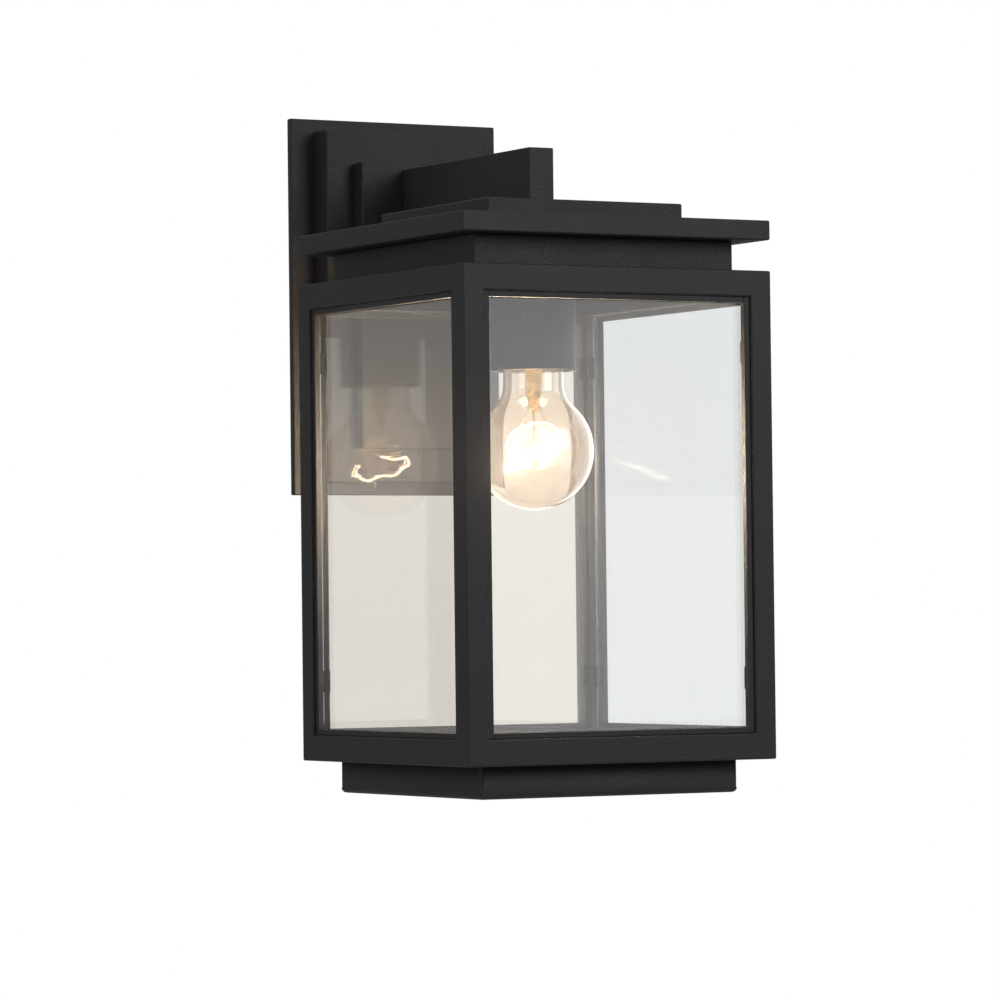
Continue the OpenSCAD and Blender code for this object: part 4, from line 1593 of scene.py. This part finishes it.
@dataclass
class Studio:
    """The camera, the paper floor, the soft lights, the lamp's own light and the lens's bloom.

    Args:
        eye: The camera's place in metres.
        yaw: Its heading, from +Y towards +X, in degrees.
        pitch: Its tilt upwards, in degrees.
        roll: Its turn about its own axis, in degrees.
        lens: Focal length in millimetres, on a 36 mm sensor.
        floor_z: Height of the floor in metres.
        floor_r: Radius of the floor in metres.
        mirror_left: Brightness of the tent's left side where it is seen in a mirror.
        mirror_right: The same for its right side, where the large lamp stands.
        room: Brightness of the room in front, on paint.
        wall: Brightness of the wall behind, on paint.
        ceiling: What the ceiling adds, on paint.
        mirror_reach: X part of a ray at which the tent is dimmest, or brightest.
        wall_reach: Y parts of a ray from which and up to which the wall counts.
        ceiling_reach: Z parts of a ray from which and up to which the ceiling counts.
        lamp_power: Power of the filament's light in watts.
        lamp_radius: Radius of that light in metres.
        lamp_colour: Its colour as sRGB hex.
        bloom_from: Brightness above which a spot blooms.
        bloom_most: Brightness that counts at most.
        bloom_strength: How bright the halo is.
        bloom_size: How wide it is, as a share of the picture.
    """

    eye: tuple[float, float, float] = (-1.115, -2.094, -0.152)
    yaw: float = 29.28
    pitch: float = 1.42
    roll: float = -0.66
    lens: float = 175.9
    floor_z: float = -2.4
    floor_r: float = 4.0
    mirror_left: float = 0.6
    mirror_right: float = 1.85
    room: float = 0.16
    wall: float = 0.26
    ceiling: float = 0.25
    mirror_reach: float = 0.49
    wall_reach: tuple[float, float] = (-0.1, 0.5)
    ceiling_reach: tuple[float, float] = (-0.2, 0.9)
    lamp_power: float = 0.15
    lamp_radius: float = 0.012
    lamp_colour: str = "#ffcc9c"
    bloom_from: float = 2.0
    bloom_most: float = 60.0
    bloom_strength: float = 0.5
    bloom_size: float = 0.4

    def place_camera(self) -> None:
        """Set the camera: its axes are right, up and back, worked out from the three angles."""
        yaw, pitch, roll = (math.radians(a) for a in (self.yaw, self.pitch, self.roll))
        level_share = math.cos(pitch)
        ahead = Vector((math.sin(yaw) * level_share, math.cos(yaw) * level_share, math.sin(pitch)))
        level = Vector((math.cos(yaw), -math.sin(yaw), 0))
        upward = level.cross(ahead)
        right = math.cos(roll) * level + math.sin(roll) * upward
        up = math.cos(roll) * upward - math.sin(roll) * level
        data = bpy.data.cameras.new("camera")
        data.lens, data.sensor_width = self.lens, 36.0
        data.clip_start, data.clip_end = 0.05, 50.0
        camera = bpy.data.objects.new("camera", data)
        bpy.context.scene.collection.objects.link(camera)
        turn = Matrix((right, up, -ahead)).transposed().to_4x4()
        camera.matrix_world = Matrix.Translation(self.eye) @ turn
        bpy.context.scene.camera = camera

    def lay_floor(self) -> None:
        """Lay the paper disc.

        It is rings of points at radius r (cos a, sin a), level, over one point below them.
        """
        rings, thickness = 12, 8.0
        radius = np.linspace(0, self.floor_r / MM, rings)
        shape = revolved(np.append(radius, 0), np.append(np.zeros(rings), -thickness), 96)
        shape = Shape(shape.points, tuple(block[:, ::-1] for block in shape.faces))
        mesh = bpy.data.meshes.new("floor")
        points = shape.points * MM + [0, -0.14, self.floor_z]
        mesh.from_pydata(points.tolist(), [], [row for block in shape.faces for row in block.tolist()])
        mesh.materials.append(PAPER.material())
        floor = bpy.data.objects.new("floor", mesh)
        bpy.context.scene.collection.objects.link(floor)

    def hang_world(self) -> None:
        """Set the studio's light tent.

        It is white to the eye and through clear glass. In a mirror it is dim on the left and
        bright on the right, by the X part of the ray's direction. On paint it is the light of
        a dim room, with a wall behind the lantern that is brighter by the Y part of that
        direction, and a ceiling that adds some by its Z part.
        """
        world = bpy.data.worlds.new("light_tent")
        bpy.context.scene.world = world
        world.use_nodes = True
        tree = world.node_tree
        tree.nodes.clear()
        rays = add_node(tree, "ShaderNodeLightPath").outputs
        seen = add_node(tree, "ShaderNodeMath", {"operation": "MAXIMUM"}, {
            0: rays["Is Camera Ray"], 1: rays["Is Singular Ray"]})
        clear = add_node(tree, "ShaderNodeMath", {"operation": "MAXIMUM"}, {
            0: seen.outputs[0], 1: rays["Is Transmission Ray"]})
        bounced = add_node(tree, "ShaderNodeMath", {"operation": "SUBTRACT"}, {
            0: rays["Ray Depth"], 1: rays["Transmission Depth"]})
        heading = add_node(tree, "ShaderNodeSeparateXYZ", inputs={
            0: add_node(tree, "ShaderNodeTexCoord").outputs["Generated"]})
        mirrored = add_node(tree, "ShaderNodeMapRange", inputs={
            "Value": heading.outputs["X"], "From Min": -self.mirror_reach,
            "From Max": self.mirror_reach, "To Min": self.mirror_left,
            "To Max": self.mirror_right})
        white = add_node(tree, "ShaderNodeMapRange", inputs={
            "Value": bounced.outputs[0], "From Min": 1.0, "From Max": 2.0,
            "To Min": 1.0, "To Max": mirrored.outputs[0]})
        bright = add_node(tree, "ShaderNodeBackground", inputs={
            "Color": (1, 1, 1, 1), "Strength": white.outputs[0]})
        wall = add_node(tree, "ShaderNodeMapRange", {"interpolation_type": "SMOOTHSTEP"}, {
            "Value": heading.outputs["Y"], "From Min": self.wall_reach[0],
            "From Max": self.wall_reach[1], "To Min": self.room, "To Max": self.wall})
        above = add_node(tree, "ShaderNodeMapRange", {"interpolation_type": "SMOOTHSTEP"}, {
            "Value": heading.outputs["Z"], "From Min": self.ceiling_reach[0],
            "From Max": self.ceiling_reach[1], "To Min": 0.0, "To Max": self.ceiling})
        level = add_node(tree, "ShaderNodeMath", {"operation": "ADD"}, {
            0: wall.outputs[0], 1: above.outputs[0]})
        dim = add_node(tree, "ShaderNodeBackground", inputs={
            "Color": (1, 1, 1, 1), "Strength": level.outputs[0]})
        mixed = add_node(tree, "ShaderNodeMixShader", inputs={
            0: clear.outputs[0], 1: dim.outputs[0], 2: bright.outputs[0]})
        add_node(tree, "ShaderNodeOutputWorld", inputs={"Surface": mixed.outputs[0]})

    def light_lamp(self, axis_y: float, height: float) -> None:
        """Put the filament's warm light into the globe.

        Args:
            axis_y: Place of the lantern's upright axis.
            height: Height of the filament.
        """
        data = bpy.data.lights.new("filament_light", "POINT")
        data.energy, data.shadow_soft_size = self.lamp_power, self.lamp_radius
        data.color = linear(self.lamp_colour)[:3]
        light = bpy.data.objects.new("filament_light", data)
        bpy.context.scene.collection.objects.link(light)
        light.location = (0, axis_y * MM, height * MM)
        light.visible_camera = False
        light.visible_transmission = False
        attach(light, Body.BULB.value)

    def build(self) -> None:
        """Set the stage, and how its light is turned into a picture."""
        self.place_camera()
        self.lay_floor()
        self.hang_world()
        KEY_SOFTBOX.hang()
        FILL_SOFTBOX.hang()
        scene = bpy.context.scene
        scene.view_settings.view_transform = "Standard"
        for name, value in LIGHT_PATHS.items():
            setattr(scene.cycles, name, value)
        self.add_bloom()

    def add_bloom(self) -> None:
        """Let the brightest wire bloom as it does in a lens: a soft halo above a threshold."""
        scene = bpy.context.scene
        scene.use_nodes = True
        tree = scene.node_tree
        tree.nodes.clear()
        picture = add_node(tree, "CompositorNodeRLayers")
        bloom = add_node(tree, "CompositorNodeGlare", {"glare_type": "BLOOM", "quality": "HIGH"}, {
            "Image": picture.outputs["Image"], "Threshold": self.bloom_from,
            "Maximum": self.bloom_most, "Strength": self.bloom_strength, "Size": self.bloom_size})
        add_node(tree, "CompositorNodeComposite", inputs={"Image": bloom.outputs["Image"]})


def main() -> None:
    """Build the lantern round its frame, one sub-assembly at a time."""
    logging.basicConfig(level=logging.INFO, format="%(name)s: %(message)s")
    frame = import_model()
    axis_y = float(node_box("ceiling_plate").mean(0)[1])
    mount = WallMount()
    mount.build()
    mount.build_terminal_screws()
    mount.dress(frame)
    arm = Arm()
    arm.build(axis_y)
    arm.dress(frame)
    roof = Roof()
    roof.build(axis_y)
    roof.dress(frame)
    glazed = GlazedFrame()
    glazed.build_frame(axis_y)
    glazed.build_beads(axis_y)
    glazed.dress(frame)
    base = Base()
    base.build(axis_y)
    base.dress(frame)
    wires = Wires()
    wires.build(axis_y)
    wires.build_earth_screws(axis_y)
    holder = Lampholder()
    holder.build(axis_y)
    holder.dress(frame)
    bulb = Bulb()
    bulb.build_glass(axis_y)
    bulb.build_filament(axis_y)
    bulb.build_cap(axis_y)
    bulb.build_insulator(axis_y)
    studio = Studio()
    studio.build()
    studio.light_lamp(axis_y, bulb.hoop_z)


if __name__ == "__main__":
    main()
